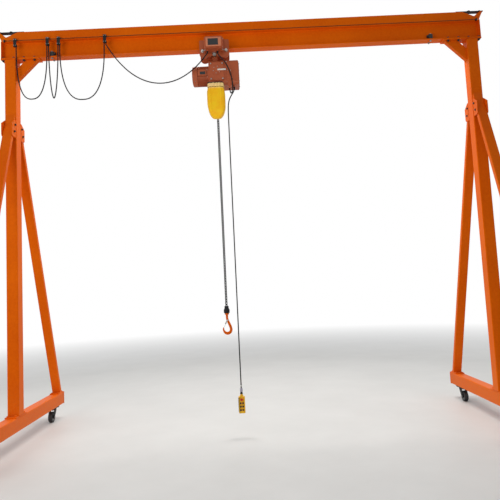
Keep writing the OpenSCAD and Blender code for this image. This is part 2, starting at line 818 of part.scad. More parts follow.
module hoist_cable() {
    start = [hoist_cable_x, motor_y, motor_low - motor_gland_l];
    finish = [cable_gland_x, cable_gland_y, hoist_bot - gland_l];
    fall = [for (p = hoist_cable_fall) p + [trolley_x, 0, hoist_top]];
    turn = [for (p = hoist_cable_turn) p + [trolley_x, 0, hoist_bot]];
    color(dark) sweep(concat([start], fall, turn, [finish]), festoon_d);
}

// The chain guide: a collar under the gear housing with a flared mouth.
module chain_guide() {
    collar_h = 8;
    color(dark) translate([chain_x, 0, hoist_bot - guide_h]) rotate_extrude() polygon([
        [guide_bore / 2 + 2, 0], [guide_bore / 2 + 5, 0], [guide_bore / 2 + 5, guide_h - collar_h],
        [guide_bore / 2 + 18, guide_h - collar_h], [guide_bore / 2 + 18, guide_h], [guide_bore / 2, guide_h],
        [guide_bore / 2, 4]
    ]);
}

// The chain bag: a collar under the housing and a soft body that is round at its foot, seen from
// the front and from the side.
module chain_bag() {
    foot_r = 62;
    side_r = 46;
    collar_h = 30;
    neck = 6;
    top = hoist_bot - run_gap;
    body_h = bag_h - collar_h;
    color(bag_yellow) translate([chain_x - 3, -bag_off, 0]) union() {
        translate([0, 0, top - collar_h]) post(bag_w, bag_d, collar_h);
        translate([0, 0, top - bag_h]) intersection() {
            upright(bag_d) union() {
                translate([-bag_w / 2 + neck, foot_r]) square([bag_w - 2 * neck, body_h - foot_r + eps]);
                translate([-bag_w / 2 + neck + foot_r, 0])
                    square([bag_w - 2 * neck - 2 * foot_r, foot_r + 1]);
                for (e = [-1, 1]) translate([e * (bag_w / 2 - neck - foot_r), foot_r]) circle(r = foot_r);
            }
            rotate([0, 0, 90]) upright(bag_w) union() {
                translate([-bag_d / 2 + neck, side_r]) square([bag_d - 2 * neck, body_h - side_r + eps]);
                translate([-bag_d / 2 + neck + side_r, 0])
                    square([bag_d - 2 * neck - 2 * side_r, side_r + 1]);
                for (e = [-1, 1]) translate([e * (bag_d / 2 - neck - side_r), side_r]) circle(r = side_r);
            }
        }
    }
}

// One oval link, centred, lying in X and Z.
module link() {
    straight = chain_pitch + chain_d - 2 * chain_bend;
    for (e = [-1, 1]) {
        translate([0, 0, e * straight / 2]) rotate([90, 0, 0]) rotate([0, 0, e > 0 ? 0 : 180])
            rotate_extrude(angle = 180, convexity = 2) translate([chain_bend, 0]) circle(d = chain_d);
        translate([e * chain_bend, 0, -straight / 2]) cylinder(d = chain_d, h = straight);
    }
}

// The load chain: oval links, each turned a quarter from the last, from the funnel of the hook
// block up to the pocket of the chain wheel.
module load_chain() {
    color(dark) for (i = [0 : links - 1])
        translate([chain_x, 0, chain_foot + chain_d + chain_pitch * (i + 0.5)])
            rotate([0, 0, i % 2 ? 45 : -45]) link();
}

// The hook block: a turned body with a waist, and a funnel for the chain's last link.
module hook_block() {
    neck_d = link_w + 14;
    funnel_d = link_w + 3;
    color(dark) translate([chain_x, 0, block_z - block_h]) rotate_extrude(convexity = 4) polygon([
        [0, 0], [block_w / 2 - 8, 0], [block_w / 2, 8], [block_w / 2, block_h * 0.46],
        [block_w / 2 - 5, block_h * 0.6], [neck_d / 2, block_h * 0.76], [neck_d / 2, block_h - 3],
        [neck_d / 2 - 3, block_h], [funnel_d / 2 + 1, block_h], [funnel_d / 2, block_h - 2],
        [funnel_d / 2, block_h - funnel_l], [0, block_h - funnel_l]
    ]);
}

// The hook's middle line, from the neck down its back, round the bowl and up to the tip. The bowl
// hangs plumb under the shank.
hook_bend = [
    for (i = [0 : 7]) let (u = i / 8, k = 1 - u, z0 = -46, z1 = hook_r + hook_d * 0.57 - hook_l)
        [3 * k * u * u * hook_r + u * u * u * hook_r, 0,
            k * k * k * z0 + 3 * k * k * u * (z0 - 34) + 3 * k * u * u * (z1 + 40) + u * u * u * z1],
    for (i = [0 : 18]) let (g = -i * 11.4, r = hook_r + (i > 14 ? (i - 14) * 1.6 : 0))
        [r * cos(g), 0, hook_r + hook_d * 0.57 - hook_l + r * sin(g)]
];
hook_sizes = [
    for (i = [0 : len(hook_bend) - 1]) let (u = i / (len(hook_bend) - 1))
        u < 0.58 ? hook_d * (0.86 + 0.28 * u / 0.58) : hook_d * (1.14 - 0.72 * pow((u - 0.58) / 0.42, 1.3))
];

// The hook: a collar and shank under the block, a forged bowl and a sprung latch across the mouth.
module hook() {
    collar_d = 46;
    collar_h = 14;
    neck_d = hook_d * 0.86;
    latch_t = 3;
    latch_w = 16;
    tip = hook_bend[len(hook_bend) - 1];
    pin = [6, 0, -74];
    reach = norm(tip - pin);
    color(paint) translate([chain_x, 0, block_z - block_h - run_gap]) union() {
        rotate_extrude() polygon([
            [0, 0], [collar_d / 2 - 2, 0], [collar_d / 2, -2], [collar_d / 2, -collar_h],
            [neck_d / 2 + 3, -collar_h],
            [neck_d / 2, -collar_h - 4], [neck_d / 2, -52], [0, -52]
        ]);
        sweep(hook_bend, hook_sizes, 12);
        translate(pin) cross_rod(12, 34);
        translate(pin) rotate([0, -atan2(tip[2] - pin[2], tip[0] - pin[0]), 0])
            translate([0, -latch_w / 2, -latch_t / 2]) cube([reach - 8, latch_w, latch_t]);
    }
}

// Pendant

module pendant_cable() {
    color(dark) sweep(pendant_route, pendant_cable_d);
}

// The pendant: a moulded handset with a boot at its top, raised seats for its buttons and a
// guard rib down each side.
module pendant() {
    body_r = 16;
    boot_h = 26;
    seat_d = 22;
    rib_t = 5;
    body_h = pendant_l - boot_h;
    color(bag_yellow) translate([pendant_x, pendant_y, pendant_z]) union() {
        translate([0, 4, 0]) linear_extrude(body_h) round_rect(pendant_w, pendant_t - 8, body_r);
        translate([0, 4, body_h - eps])
            cylinder(d1 = pendant_t - 12, d2 = pendant_cable_d + 12, h = boot_h - 6);
        translate([0, 0, body_h]) cylinder(d = pendant_cable_d + 10, h = boot_h);
        for (e = [-1, 1]) translate([e * (pendant_w / 2 - 4 - rib_t / 2), -pendant_t / 2 + 9, 12])
            post(rib_t, 18, body_h - 24);
        for (x = [-1, 1], z = [0 : 2])
            translate([x * 12, -pendant_t / 2 + 6, 34 + z * 34]) cross_rod(seat_d, 12);
        translate([0, -pendant_t / 2 + 6, body_h - 26]) cross_rod(28, 12);
    }
}

// Casters

swivel_d = 84;
race_h = 10;

module caster_plates() {
    color(dark) for (sx = [-1, 1], sy = [-1, 1])
        translate([sx * column_x, sy * caster_y, caster_h - caster_plate_t]) union() {
            post(caster_plate_w, caster_plate_l, caster_plate_t);
            translate([0, 0, -race_h]) rotate_extrude() polygon([
                [0, 0], [swivel_d / 2 - 3, 0], [swivel_d / 2, 3], [swivel_d / 2, race_h - 2],
                [swivel_d / 2 + 4, race_h + 1], [0, race_h + 1]
            ]);
        }
}

// A fork: a dished crown under the race and two pressed legs that rake back to the axle.
module fork(sx, sy) {
    top = caster_h - caster_plate_t - race_h - run_gap;
    crown_h = 8;
    leg_t = 6;
    gap = wheel_w + 10;
    eye_r = 19;
    nut_l = 7;
    color(dark) translate([sx * column_x, sy * caster_y, 0]) mirror([0, sy < 0 ? 1 : 0, 0]) union() {
        translate([0, 0, top - crown_h]) cylinder(d = swivel_d, h = crown_h);
        translate([0, 0, top - crown_h]) post(gap + 2 * leg_t, swivel_d - 18, crown_h);
        for (e = [-1, 1])
            translate([e * (gap + leg_t) / 2, 0, 0]) rotate([90, 0, 90]) translate([0, 0, -leg_t / 2])
                linear_extrude(leg_t) union() {
                    polygon([
                        [-33, top], [33, top], [33, top - 14], [28, top - 26],
                        [-trail + eye_r * 0.96, axle_z - 5],
                        [-trail, axle_z - eye_r + 4], [-trail - eye_r * 0.98, axle_z + 4]
                    ]);
                    translate([-trail, axle_z]) circle(r = eye_r);
                }
        translate([0, -trail, axle_z]) rotate([0, 90, 0]) translate([0, 0, -gap / 2 - leg_t - nut_l])
            cylinder(d = 12, h = gap + 2 * leg_t + 2 * nut_l);
    }
}

// A caster wheel: a rounded tyre, a dished web and a hub that runs on the fork's axle.
module caster_wheel(sx, sy) {
    hub_r = 20;
    hub_side = 3;
    tyre_t = 16;
    edge_r = 7;
    web_in = 9;
    r = wheel_d / 2;
    color(dark) translate([sx * column_x, sy * (caster_y - trail), axle_z]) rotate([0, 90, 0])
        translate([0, 0, -wheel_w / 2]) rotate_extrude(convexity = 4) union() {
            translate([6.1, -hub_side]) square([hub_r - 6.1, wheel_w + 2 * hub_side]);
            translate([6.1, web_in]) square([r - tyre_t - 6.1 + 2, wheel_w - 2 * web_in]);
            translate([r - tyre_t, edge_r]) square([tyre_t, wheel_w - 2 * edge_r]);
            translate([r - tyre_t, 0]) square([tyre_t - edge_r, wheel_w]);
            for (z = [edge_r, wheel_w - edge_r]) translate([r - edge_r, z]) circle(r = edge_r);
        }
}

main_beam();
beam_cap();
beam_end(-1);  // beam_end_left
beam_end(1);  // beam_end_right
end_strap(-1);  // end_strap_left
end_strap(1);  // end_strap_right
column(-1);  // column_left
column(1);  // column_right
head_plate(-1);  // head_plate_left
head_plate(1);  // head_plate_right
knee_gusset(-1);  // knee_gusset_left
knee_gusset(1);  // knee_gusset_right
base_beam(-1);  // base_beam_left
base_beam(1);  // base_beam_right
base_end_caps();
brace(-1, -1);  // brace_left_front
brace(-1, 1);  // brace_left_back
brace(1, -1);  // brace_right_front
brace(1, 1);  // brace_right_back
brace_bracket(-1);  // brace_bracket_left
brace_bracket(1);  // brace_bracket_right
travel_stops();
festoon_wire();
festoon_hangers();
festoon_loops();
festoon_lead();
trolley_plate(-1);  // trolley_plate_front
trolley_plate(1);  // trolley_plate_back
trolley_wheels();
trolley_bars();
trolley_motor();
hoist_hanger();
hoist_gearcase();
hoist_motor();
hoist_control_box();
hoist_cable();
chain_guide();
chain_bag();
load_chain();
hook_block();
hook();
pendant_cable();
pendant();
caster_plates();
fork(-1, -1);  // fork_left_front
fork(-1, 1);  // fork_left_back
fork(1, -1);  // fork_right_front
fork(1, 1);  // fork_right_back
caster_wheel(-1, -1);  // wheel_left_front
caster_wheel(-1, 1);  // wheel_left_back
caster_wheel(1, -1);  // wheel_right_front
caster_wheel(1, 1);  // wheel_right_back
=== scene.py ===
# %% [markdown]
# This lesson dresses a gantry crane: a painted steel frame on casters, with a chain hoist that
# hangs from a trolley on the beam. The measured model of the crane is already packed, so the
# first cell loads it as a fixed frame. Every piece made below is placed in that frame, in
# metres, with the floor at z = 0, x along the beam and the camera on the side of negative y.

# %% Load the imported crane
import json
import math

import bmesh
import bpy
from mathutils import Matrix, Vector, noise


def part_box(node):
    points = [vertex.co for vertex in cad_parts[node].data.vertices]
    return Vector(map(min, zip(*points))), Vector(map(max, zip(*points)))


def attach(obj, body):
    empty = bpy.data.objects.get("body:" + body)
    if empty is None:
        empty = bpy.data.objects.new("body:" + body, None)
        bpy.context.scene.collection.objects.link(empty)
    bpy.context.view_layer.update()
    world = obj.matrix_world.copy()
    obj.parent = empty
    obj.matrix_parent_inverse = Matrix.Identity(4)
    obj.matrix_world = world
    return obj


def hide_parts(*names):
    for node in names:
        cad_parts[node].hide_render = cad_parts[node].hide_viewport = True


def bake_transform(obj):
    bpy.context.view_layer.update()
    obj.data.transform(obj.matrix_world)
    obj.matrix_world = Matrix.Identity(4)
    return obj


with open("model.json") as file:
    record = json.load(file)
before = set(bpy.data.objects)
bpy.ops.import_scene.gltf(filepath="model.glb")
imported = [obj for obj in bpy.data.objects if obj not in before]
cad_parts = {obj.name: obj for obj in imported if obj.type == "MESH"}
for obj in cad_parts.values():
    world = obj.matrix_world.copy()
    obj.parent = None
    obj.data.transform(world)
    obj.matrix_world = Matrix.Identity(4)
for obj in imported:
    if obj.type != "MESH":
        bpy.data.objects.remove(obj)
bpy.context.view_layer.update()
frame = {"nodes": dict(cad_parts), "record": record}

SCENE = bpy.context.scene

# %% [markdown]
# The camera has the photograph's viewpoint: at eye height, nearly in the middle of the span,
# looking slightly up and a little tilted. Its place and angles come from the edges of the
# columns, the beam and the base. The lens is given as a focal length on a 36 mm sensor, and a
# small shift puts the optical axis where it was in the picture.

# %% Camera
SENSOR_MM = 36.0
FOCAL_PIXELS = 516.463
IMAGE_PIXELS = 500
AXIS_ABOVE_MIDDLE = 10
CAMERA_PLACE = Vector((-0.055, -5.458, 1.528))
YAW, PITCH, ROLL = (math.radians(a) for a in (-0.424, 5.023, 2.841))


def make_camera():
    data = bpy.data.cameras.new("photo_camera")
    data.sensor_width = SENSOR_MM
    data.lens = FOCAL_PIXELS / IMAGE_PIXELS * SENSOR_MM
    data.shift_y = -AXIS_ABOVE_MIDDLE / IMAGE_PIXELS
    data.clip_end = 200
    turn = (Matrix.Rotation(YAW, 3, "Z") @ Matrix.Rotation(PITCH, 3, "X")
            @ Matrix.Rotation(ROLL, 3, "Y"))
    right, forward, up = (turn @ Vector(a) for a in ((1, 0, 0), (0, 1, 0), (0, 0, 1)))
    camera = bpy.data.objects.new("photo_camera", data)
    axes = Matrix((right, up, -forward)).transposed().to_4x4()
    camera.matrix_world = Matrix.Translation(CAMERA_PLACE) @ axes
    SCENE.collection.objects.link(camera)
    SCENE.camera = camera
    return camera


camera = make_camera()
print("lens", round(camera.data.lens, 2), "mm")

# %% [markdown]
# Every finish here is a Principled shader whose colour and roughness wander a little with
# noise, with a fine bump, so one class holds the nodes that they share. The noise reads
# Object coordinates. As every piece lies at the origin, these are metres in the crane's own
# frame, so a scale of 400 means grains of 2.5 mm. Values that are the same all over a surface
# are set on the shader's own sockets.

# %% Finishes: helpers


def linear(c):
    """One part of a screen colour, 0 to 255, as the value that the shader takes."""
    return ((c / 255 + 0.055) / 1.055) ** 2.4 if c > 10 else c / 255 / 12.92


def srgb(*colour):
    return tuple(linear(c) for c in colour) + (1.0,)


# The sockets of a Mix node that mixes colours.
MIX_SHARE, MIX_A, MIX_B, MIX_OUT = 0, 6, 7, 2


class Nodes:
    """A material's node tree, with short ways to add the nodes that the finishes need."""

    def __init__(self, name):
        self.material = bpy.data.materials.new(name)
        self.material.use_nodes = True
        self.tree = self.material.node_tree
        self.shader = self.tree.nodes["Principled BSDF"]
        self.place = self.add("ShaderNodeTexCoord").outputs["Object"]

    def add(self, kind, **settings):
        node = self.tree.nodes.new(kind)
        for key, value in settings.items():
            setattr(node, key, value)
        return node

    def link(self, a, b):
        self.tree.links.new(a, b)

    def noise(self, scale, detail=3.0, rough=0.5):
        node = self.add("ShaderNodeTexNoise")
        for key, number in (("Scale", scale), ("Detail", detail), ("Roughness", rough)):
            node.inputs[key].default_value = number
        self.link(self.place, node.inputs["Vector"])
        return node.outputs["Fac"]

    def ramp(self, value, stops):
        node = self.add("ShaderNodeValToRGB")
        band = node.color_ramp
        while len(band.elements) < len(stops):
            band.elements.new(0.5)
        for element, (position, colour) in zip(band.elements, stops):
            element.position = position
            element.color = colour
        self.link(value, node.inputs["Fac"])
        return node.outputs["Color"]

    def spread(self, value, low, high, from_low=0.3, from_high=0.7):
        """The value, stretched so that from_low becomes low and from_high becomes high."""
        node = self.add("ShaderNodeMapRange")
        for key, number in (("From Min", from_low), ("From Max", from_high),
                            ("To Min", low), ("To Max", high)):
            node.inputs[key].default_value = number
        self.link(value, node.inputs["Value"])
        return node.outputs["Result"]

    def mix(self, share, a, b):
        node = self.add("ShaderNodeMix", data_type="RGBA")
        for key, value in ((MIX_SHARE, share), (MIX_A, a), (MIX_B, b)):
            if isinstance(value, bpy.types.NodeSocket):
                self.link(value, node.inputs[key])
            else:
                node.inputs[key].default_value = value
        return node.outputs[MIX_OUT]

    def product(self, a, b):
        node = self.add("ShaderNodeMath", operation="MULTIPLY")
        self.link(a, node.inputs[0])
        self.link(b, node.inputs[1])
        return node.outputs[0]

    def height(self):
        """The height above the floor, in metres."""
        parts = self.add("ShaderNodeSeparateXYZ")
        self.link(self.place, parts.inputs["Vector"])
        return parts.outputs["Z"]

    def bump(self, *layers):
        """Layers of (height, distance in metres, strength), the finest last."""
        normal = None
        for height, distance, strength in layers:
            node = self.add("ShaderNodeBump")
            node.inputs["Distance"].default_value = distance
            node.inputs["Strength"].default_value = strength
            self.link(height, node.inputs["Height"])
            if normal:
                self.link(normal, node.inputs["Normal"])
            normal = node.outputs["Normal"]
        self.link(normal, self.shader.inputs["Normal"])

    def surface(self, colour, roughness):
        self.link(colour, self.shader.inputs["Base Color"])
        self.link(roughness, self.shader.inputs["Roughness"])

    def set(self, **values):
        for key, value in values.items():
            self.shader.inputs[key.replace("_", " ")].default_value = value


# %% [markdown]
# The frame's paint is a satin orange on rolled steel. Up close it has a soft unevenness from
# the mill and the spray gun, a faint grain, and dust where the frame is near the floor. The
# height above the floor comes straight from the coordinates. The paint's reflection is weak
# and takes a warm tint, so that a pale room doesn't wash the orange out.

# %% Finishes: paints
WARM, NEARLY_WHITE, WHITE = (255, 176, 60), (255, 236, 222), (255, 255, 255)


def paint(name, light, dark, dust, roughness=(0.40, 0.56), dust_height=0.75, tint=WARM, gloss=0.22):
    """Paint between two colours, dusty up to dust_height, whose reflection takes a tint."""
    n = Nodes(name)
    cloud = n.noise(1.4, 3.0, 0.5)
    fine = n.noise(38.0, 4.0, 0.6)
    body = n.ramp(n.mix(0.35, cloud, fine), [(0.30, srgb(*dark)), (0.66, srgb(*light))])
    low = n.spread(n.height(), 0.34, 0.0, 0.0, dust_height)
    speckle = n.spread(n.noise(55.0, 6.0, 0.7), 0.0, 1.0, 0.42, 0.72)
    n.surface(n.mix(n.product(low, speckle), body, srgb(*dust)),
              n.spread(n.mix(0.5, cloud, fine), *roughness))
    n.bump((n.noise(6.0, 2.0, 0.4), 0.004, 0.10), (n.noise(420.0, 2.0, 0.5), 0.0004, 0.35))
    n.set(IOR=1.45, Specular_IOR_Level=gloss, Specular_Tint=srgb(*tint))
    return n.material


ORANGE = paint("orange_paint", (242, 110, 10), (222, 88, 6), (204, 142, 80))
HOIST_PAINT = paint("hoist_paint", (182, 90, 52), (156, 72, 42), (170, 140, 118),
                    (0.36, 0.52), tint=NEARLY_WHITE, gloss=0.52)
# A paler copy of the hoist paint: a painted highlight for the lit rim on the trolley motor's panel.
HOIST_PAINT_PAINTED_HIGHLIGHT = paint("hoist_paint_painted_highlight", (212, 132, 96), (194, 112, 78), (170, 140, 118),
                   (0.34, 0.50), tint=NEARLY_WHITE, gloss=0.52)
BLACK_PAINT = paint("black_paint", (34, 34, 36), (22, 22, 24), (92, 86, 80),
                    (0.44, 0.60), 0.35, WHITE)
print("paints ready")

# %% [markdown]
# The other finishes follow the same pattern. Zinc and chain steel are metals, so their colour
# is their reflection; rubber and moulded plastic are rough with a dry grain; the bag is a
# coated cloth, whose weave comes from two crossed waves that run along the piece's own UV map.

# %% Finishes: metals, rubber, plastic


def metal(name, light, dark, roughness, metallic=1.0):
    n = Nodes(name)
    body = n.ramp(n.noise(9.0, 4.0, 0.6), [(0.36, srgb(*dark)), (0.64, srgb(*light))])
    n.surface(body, n.spread(n.noise(40.0, 3.0, 0.6), *roughness))
    n.bump((n.noise(260.0, 2.0, 0.5), 0.0005, 0.3))
    n.set(Metallic=metallic)
    return n.material


def rubber(name, light, dark, roughness=(0.52, 0.72), grain=900.0, gloss=0.5):
    """Rubber or plastic between two colours, with a dry grain of that many waves a metre."""
    n = Nodes(name)
    body = n.ramp(n.noise(5.0, 4.0, 0.6), [(0.35, srgb(*dark)), (0.66, srgb(*light))])
    n.surface(body, n.spread(n.noise(60.0, 3.0, 0.6), *roughness))
    n.bump((n.noise(grain, 2.0, 0.5), 0.0003, 0.4))
    n.set(IOR=1.46, Specular_IOR_Level=gloss)
    return n.material


ZINC = metal("zinc_steel", (196, 196, 192), (152, 152, 150), (0.26, 0.42))
CHAIN_STEEL = metal("chain_steel", (30, 29, 30), (18, 18, 19), (0.42, 0.58), metallic=0.6)
CABLE = rubber("cable_sheath", (24, 24, 27), (15, 15, 17), gloss=0.22)
STOP_RUBBER = rubber("stop_rubber", (34, 33, 32), (20, 20, 20))
TREAD = rubber("wheel_tread", (40, 40, 42), (24, 24, 26), (0.45, 0.66), 300.0)
YELLOW_PLASTIC = rubber("pendant_plastic", (250, 196, 30), (236, 176, 20), (0.38, 0.5), 1200.0)
BLACK_PLASTIC = rubber("black_plastic", (30, 30, 32), (20, 20, 22), (0.4, 0.55), 1200.0)
RED_PLASTIC = rubber("red_plastic", (206, 34, 26), (180, 24, 20), (0.3, 0.42), 1200.0)
WHITE_PLATE = rubber("white_plate", (236, 234, 228), (222, 220, 214), (0.35, 0.5), 1500.0)
PALE_PLASTIC = rubber("pale_plastic", (186, 182, 196), (168, 164, 180), (0.4, 0.55), 1200.0)
WELD = paint("weld_paint", (232, 100, 10), (200, 76, 8), (204, 142, 80))
BLACK_BOLT = metal("black_bolt", (62, 58, 56), (42, 40, 40), (0.42, 0.58), metallic=0.5)
RIM = metal("wheel_rim", (120, 120, 120), (86, 86, 88), (0.34, 0.5))
print(len(bpy.data.materials), "materials so far")

# %% [markdown]
# A CAD node whose shape is right keeps its mesh and only takes a finish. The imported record
# says which material slot each node belongs to, so one table from slot to finish covers them
# all. The bag's cloth isn't in it yet, so the bag's node takes the yellow plastic for now.
# Nodes that get a finer mesh later, as the bag does, are hidden when that piece replaces them.

# %% Finishes on the CAD nodes
BY_SLOT = {
    "orange_paint": ORANGE, "orange_paint_hook": ORANGE, "hoist_paint": HOIST_PAINT,
    "black_steel": BLACK_PAINT, "zinc_steel": ZINC, "chain_steel": CHAIN_STEEL,
    "cable_sheath": CABLE, "stop_rubber": STOP_RUBBER, "wheel_tread": TREAD,
    "pendant_plastic": YELLOW_PLASTIC,
}
SLOT_OF = {part["node"]: part["material_slot"] for part in frame["record"]["subparts"]}

for name, node in frame["nodes"].items():
    node.data.materials.clear()
    node.data.materials.append(BY_SLOT.get(SLOT_OF[name], YELLOW_PLASTIC))
print(len(frame["nodes"]), "nodes have a finish")

# %% [markdown]
# The shapes below are built in bmesh from a few helpers: a rod, a block with bevelled edges,
# a bar swept along a line by bridging circles, and a stamp that copies one small mesh to many
# places. A last helper turns a bmesh into a piece: it sets the normals outwards, shades the
# gentle edges smooth and hangs the piece on the body that carries it.

# %% Shapes: helpers


def at(x, y, z):
    return Matrix.Translation((x, y, z))


def facing(direction):
    """A rotation that turns +Z towards a direction."""
    return Vector(direction).to_track_quat("Z", "Y").to_matrix().to_4x4()


def rod(bm, a, b, radius, segments, radius_end=None):
    a, b = Vector(a), Vector(b)
    end = radius if radius_end is None else radius_end
    bmesh.ops.create_cone(bm, cap_ends=True, segments=segments, radius1=radius, radius2=end,
                          depth=(b - a).length,
                          matrix=Matrix.Translation((a + b) / 2) @ facing(b - a))


def edges_of(verts):
    return list({e for v in verts for e in v.link_edges})


def soften(bm, edges, offset, segments):
    bmesh.ops.bevel(bm, geom=edges, offset=offset, offset_type="OFFSET", segments=segments,
                    profile=0.5, affect="EDGES", material=-1, clamp_overlap=True)


def block(bm, low, high, edge=0.0, segments=2):
    low, high = Vector(low), Vector(high)
    size = high - low
    place = Matrix.Translation((low + high) / 2) @ Matrix.Diagonal((*size, 1.0))
    verts = bmesh.ops.create_cube(bm, size=1.0, matrix=place)["verts"]
    if edge:
        soften(bm, edges_of(verts), edge, segments)


def swept(bm, line, radius, segments):
    """A bar along a line of points. radius is one number or a function of the point's index."""
    line = [Vector(p) for p in line]
    bar, last, side = bmesh.new(), None, None
    for i, point in enumerate(line):
        along = (line[min(i + 1, len(line) - 1)] - line[max(i - 1, 0)]).normalized()
        if side is None:
            side = along.orthogonal()
        side = (side - along * side.dot(along)).normalized()
        turn = Matrix((side, along.cross(side), along)).transposed().to_4x4()
        size = radius(i) if callable(radius) else radius
        end = i in (0, len(line) - 1)
        ring = bmesh.ops.create_circle(bar, cap_ends=end, segments=segments, radius=size,
                                       matrix=Matrix.Translation(point) @ turn)["verts"]
        own = set(ring)
        loop = [e for e in edges_of(ring) if own.issuperset(e.verts)]
        if last:
            bmesh.ops.bridge_loops(bar, edges=last + loop)
        last = loop
    join(bm, bar)


def join(bm, other):
    """Moves everything of another bmesh into bm."""
    mesh = bpy.data.meshes.new("joined")
    other.to_mesh(mesh)
    other.free()
    bm.from_mesh(mesh)
    bpy.data.meshes.remove(mesh)


def stamp(bm, mesh, place):
    """Adds a copy of a small mesh at a place."""
    copy = mesh.copy()
    copy.transform(place)
    bm.from_mesh(copy)
    bpy.data.meshes.remove(copy)


def to_mesh(bm, name):
    bmesh.ops.recalc_face_normals(bm, faces=bm.faces)
    mesh = bpy.data.meshes.new(name)
    bm.to_mesh(mesh)
    bm.free()
    return mesh


def piece(name, bm, finish, body, sharp, replaces=()):
    """An object that rides on a body. Edges over sharp degrees stay sharp."""
    mesh = to_mesh(bm, name)
    mesh.materials.append(finish)
    mesh.shade_smooth()
    mesh.set_sharp_from_angle(angle=math.radians(sharp))
    made = bpy.data.objects.new(name, mesh)
    SCENE.collection.objects.link(made)
    if body:
        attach(made, body)
    if replaces:
        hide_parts(*replaces)
    print(name, len(mesh.polygons), "faces")
    return made


# %% [markdown]
# Cables come next, because their lines cross most of the picture. A cable is a curve with a
# round bevel. The pendant's cable is a free one: it leaves a gland under the control box,
# curves aside and hangs plumb to the handset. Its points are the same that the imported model
# was swept along.

# %% Cables
CABLE_R = 0.006
PENDANT_ROUTE = [
    (-0.103, -0.06, 3.663), (-0.103, -0.06, 3.642), (-0.114, -0.06, 3.608), (-0.138, -0.06, 3.574),
    (-0.160, -0.06, 3.534), (-0.174, -0.06, 3.484), (-0.179, -0.06, 3.420), (-0.180, -0.06, 3.300),
    (-0.180, -0.06, 3.000), (-0.180, -0.06, 2.400), (-0.180, -0.06, 1.800), (-0.180, -0.06, 1.200),
    (-0.180, -0.06, 0.800), (-0.180, -0.06, 0.600), (-0.180, -0.06, 0.500), (-0.180, -0.06, 0.430),
]


def cable(name, routes, body, bend=8):
    """One curve object with a spline for each route, smoothed between its points."""
    data = bpy.data.curves.new(name, "CURVE")
    data.dimensions = "3D"
    data.bevel_depth = CABLE_R
    data.bevel_resolution = 5
    data.resolution_u = data.render_resolution_u = bend
    data.use_fill_caps = True
    for route in routes:
        spline = data.splines.new("NURBS")
        spline.points.add(len(route) - 1)
        for point, place in zip(spline.points, route):
            point.co = (*place, 1.0)
        spline.order_u = 3
        spline.use_endpoint_u = True
    data.materials.append(CABLE)
    made = bpy.data.objects.new(name, data)
    SCENE.collection.objects.link(made)
    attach(made, body)
    return made


def length_of(route):
    return sum((Vector(b) - Vector(a)).length for a, b in zip(route, route[1:]))


pendant_cable = cable("pendant_cable_sheath", [PENDANT_ROUTE], "trolley")
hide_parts("pendant_cable")
print("pendant cable", round(length_of(PENDANT_ROUTE), 3), "m")

# %% [markdown]
# The festoon carries the trolley's supply in loops under hangers on a wire. The first three
# are fixed and short. A stiff cable in a short loop hangs fuller than a chain would, so their
# line is a half ellipse whose sides are pushed out or in. The last loop is long and slack, so
# it hangs in a catenary. It runs to the trolley, and it is a mesh swept along that line.

# %% Festoon cable
HANGER_X = [gap - 2.450 for gap in (0.0, 0.350, 0.470, 0.970)]
HANGER_HALF = 0.009
WIRE_Y, WIRE_Z, SADDLE_Z = -0.064, 4.294, 4.222
LEAD_END = Vector((-0.370, -0.144, 4.033))
LOOP_DROP, LEAD_DROP, LEAD_IN = 0.590, 0.498, 0.014
LOOP_STEPS, LEAD_STEPS, HALVINGS = 32, 30, 50


def settle(low, high, too_low):
    """Halves the range between low and high down to the value where too_low turns false."""
    for _ in range(HALVINGS):
        middle = (low + high) / 2
        low, high = (middle, high) if too_low(middle) else (low, middle)
    return (low + high) / 2


def slackness(width, depth):
    """The catenary's parameter for one side of a loop, width wide and depth deep."""
    return settle(width / 12, width * 8, lambda a: a * (math.cosh(width / a) - 1) > depth)


def side_of_loop(width, depth):
    """Points along one side of a catenary from its lowest point, evenly spaced on the cable."""
    a = slackness(width, depth)
    whole = math.sqrt(depth * depth + 2 * a * depth)
    runs = [whole * i / LEAD_STEPS for i in range(LEAD_STEPS + 1)]
    return [(a * math.asinh(run / a), math.hypot(a, run) - a) for run in runs]


def loop_route(left, right, depth):
    """A slack cable between two points, which drops straight for LEAD_IN at each end."""
    left, right = Vector(left), Vector(right)
    l, r = left - Vector((0, 0, LEAD_IN)), right - Vector((0, 0, LEAD_IN))
    down_left = depth - LEAD_IN
    down_right = down_left - l.z + r.z
    width = r.x - l.x
    low_x = settle(width * 0.2, width * 0.8,
                   lambda m: slackness(m, down_left) <= slackness(width - m, down_right))
    points = [left]
    halves = ([(-x, z) for x, z in reversed(side_of_loop(low_x, down_left))]
              + side_of_loop(width - low_x, down_right)[1:])
    for dx, dz in halves:
        share = (low_x + dx) / width
        points.append(Vector((l.x + low_x + dx, l.y + (r.y - l.y) * share, l.z - down_left + dz)))
    return points + [right]


def stiff_loop(left, right, depth, full):
    """A loop between two points at one height. full is 1 for an ellipse, less for a fuller one."""
    half = (right - left) / 2
    points = []
    for i in range(LOOP_STEPS + 1):
        angle = math.pi * i / LOOP_STEPS
        across = math.copysign(abs(math.cos(angle)) ** full, math.cos(angle))
        down = depth * abs(math.sin(angle)) ** full
        points.append((left + half - across * half, WIRE_Y, SADDLE_Z - down))
    return points


loops = []
for i, (extra, full) in enumerate(((0.0, 0.78), (0.0, 1.1), (0.030, 0.8))):
    loops.append(stiff_loop(HANGER_X[i] + HANGER_HALF, HANGER_X[i + 1] - HANGER_HALF,
                            LOOP_DROP + extra, full))
festoon = cable("festoon_cable", loops, "gantry", 4)
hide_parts("festoon_loops")

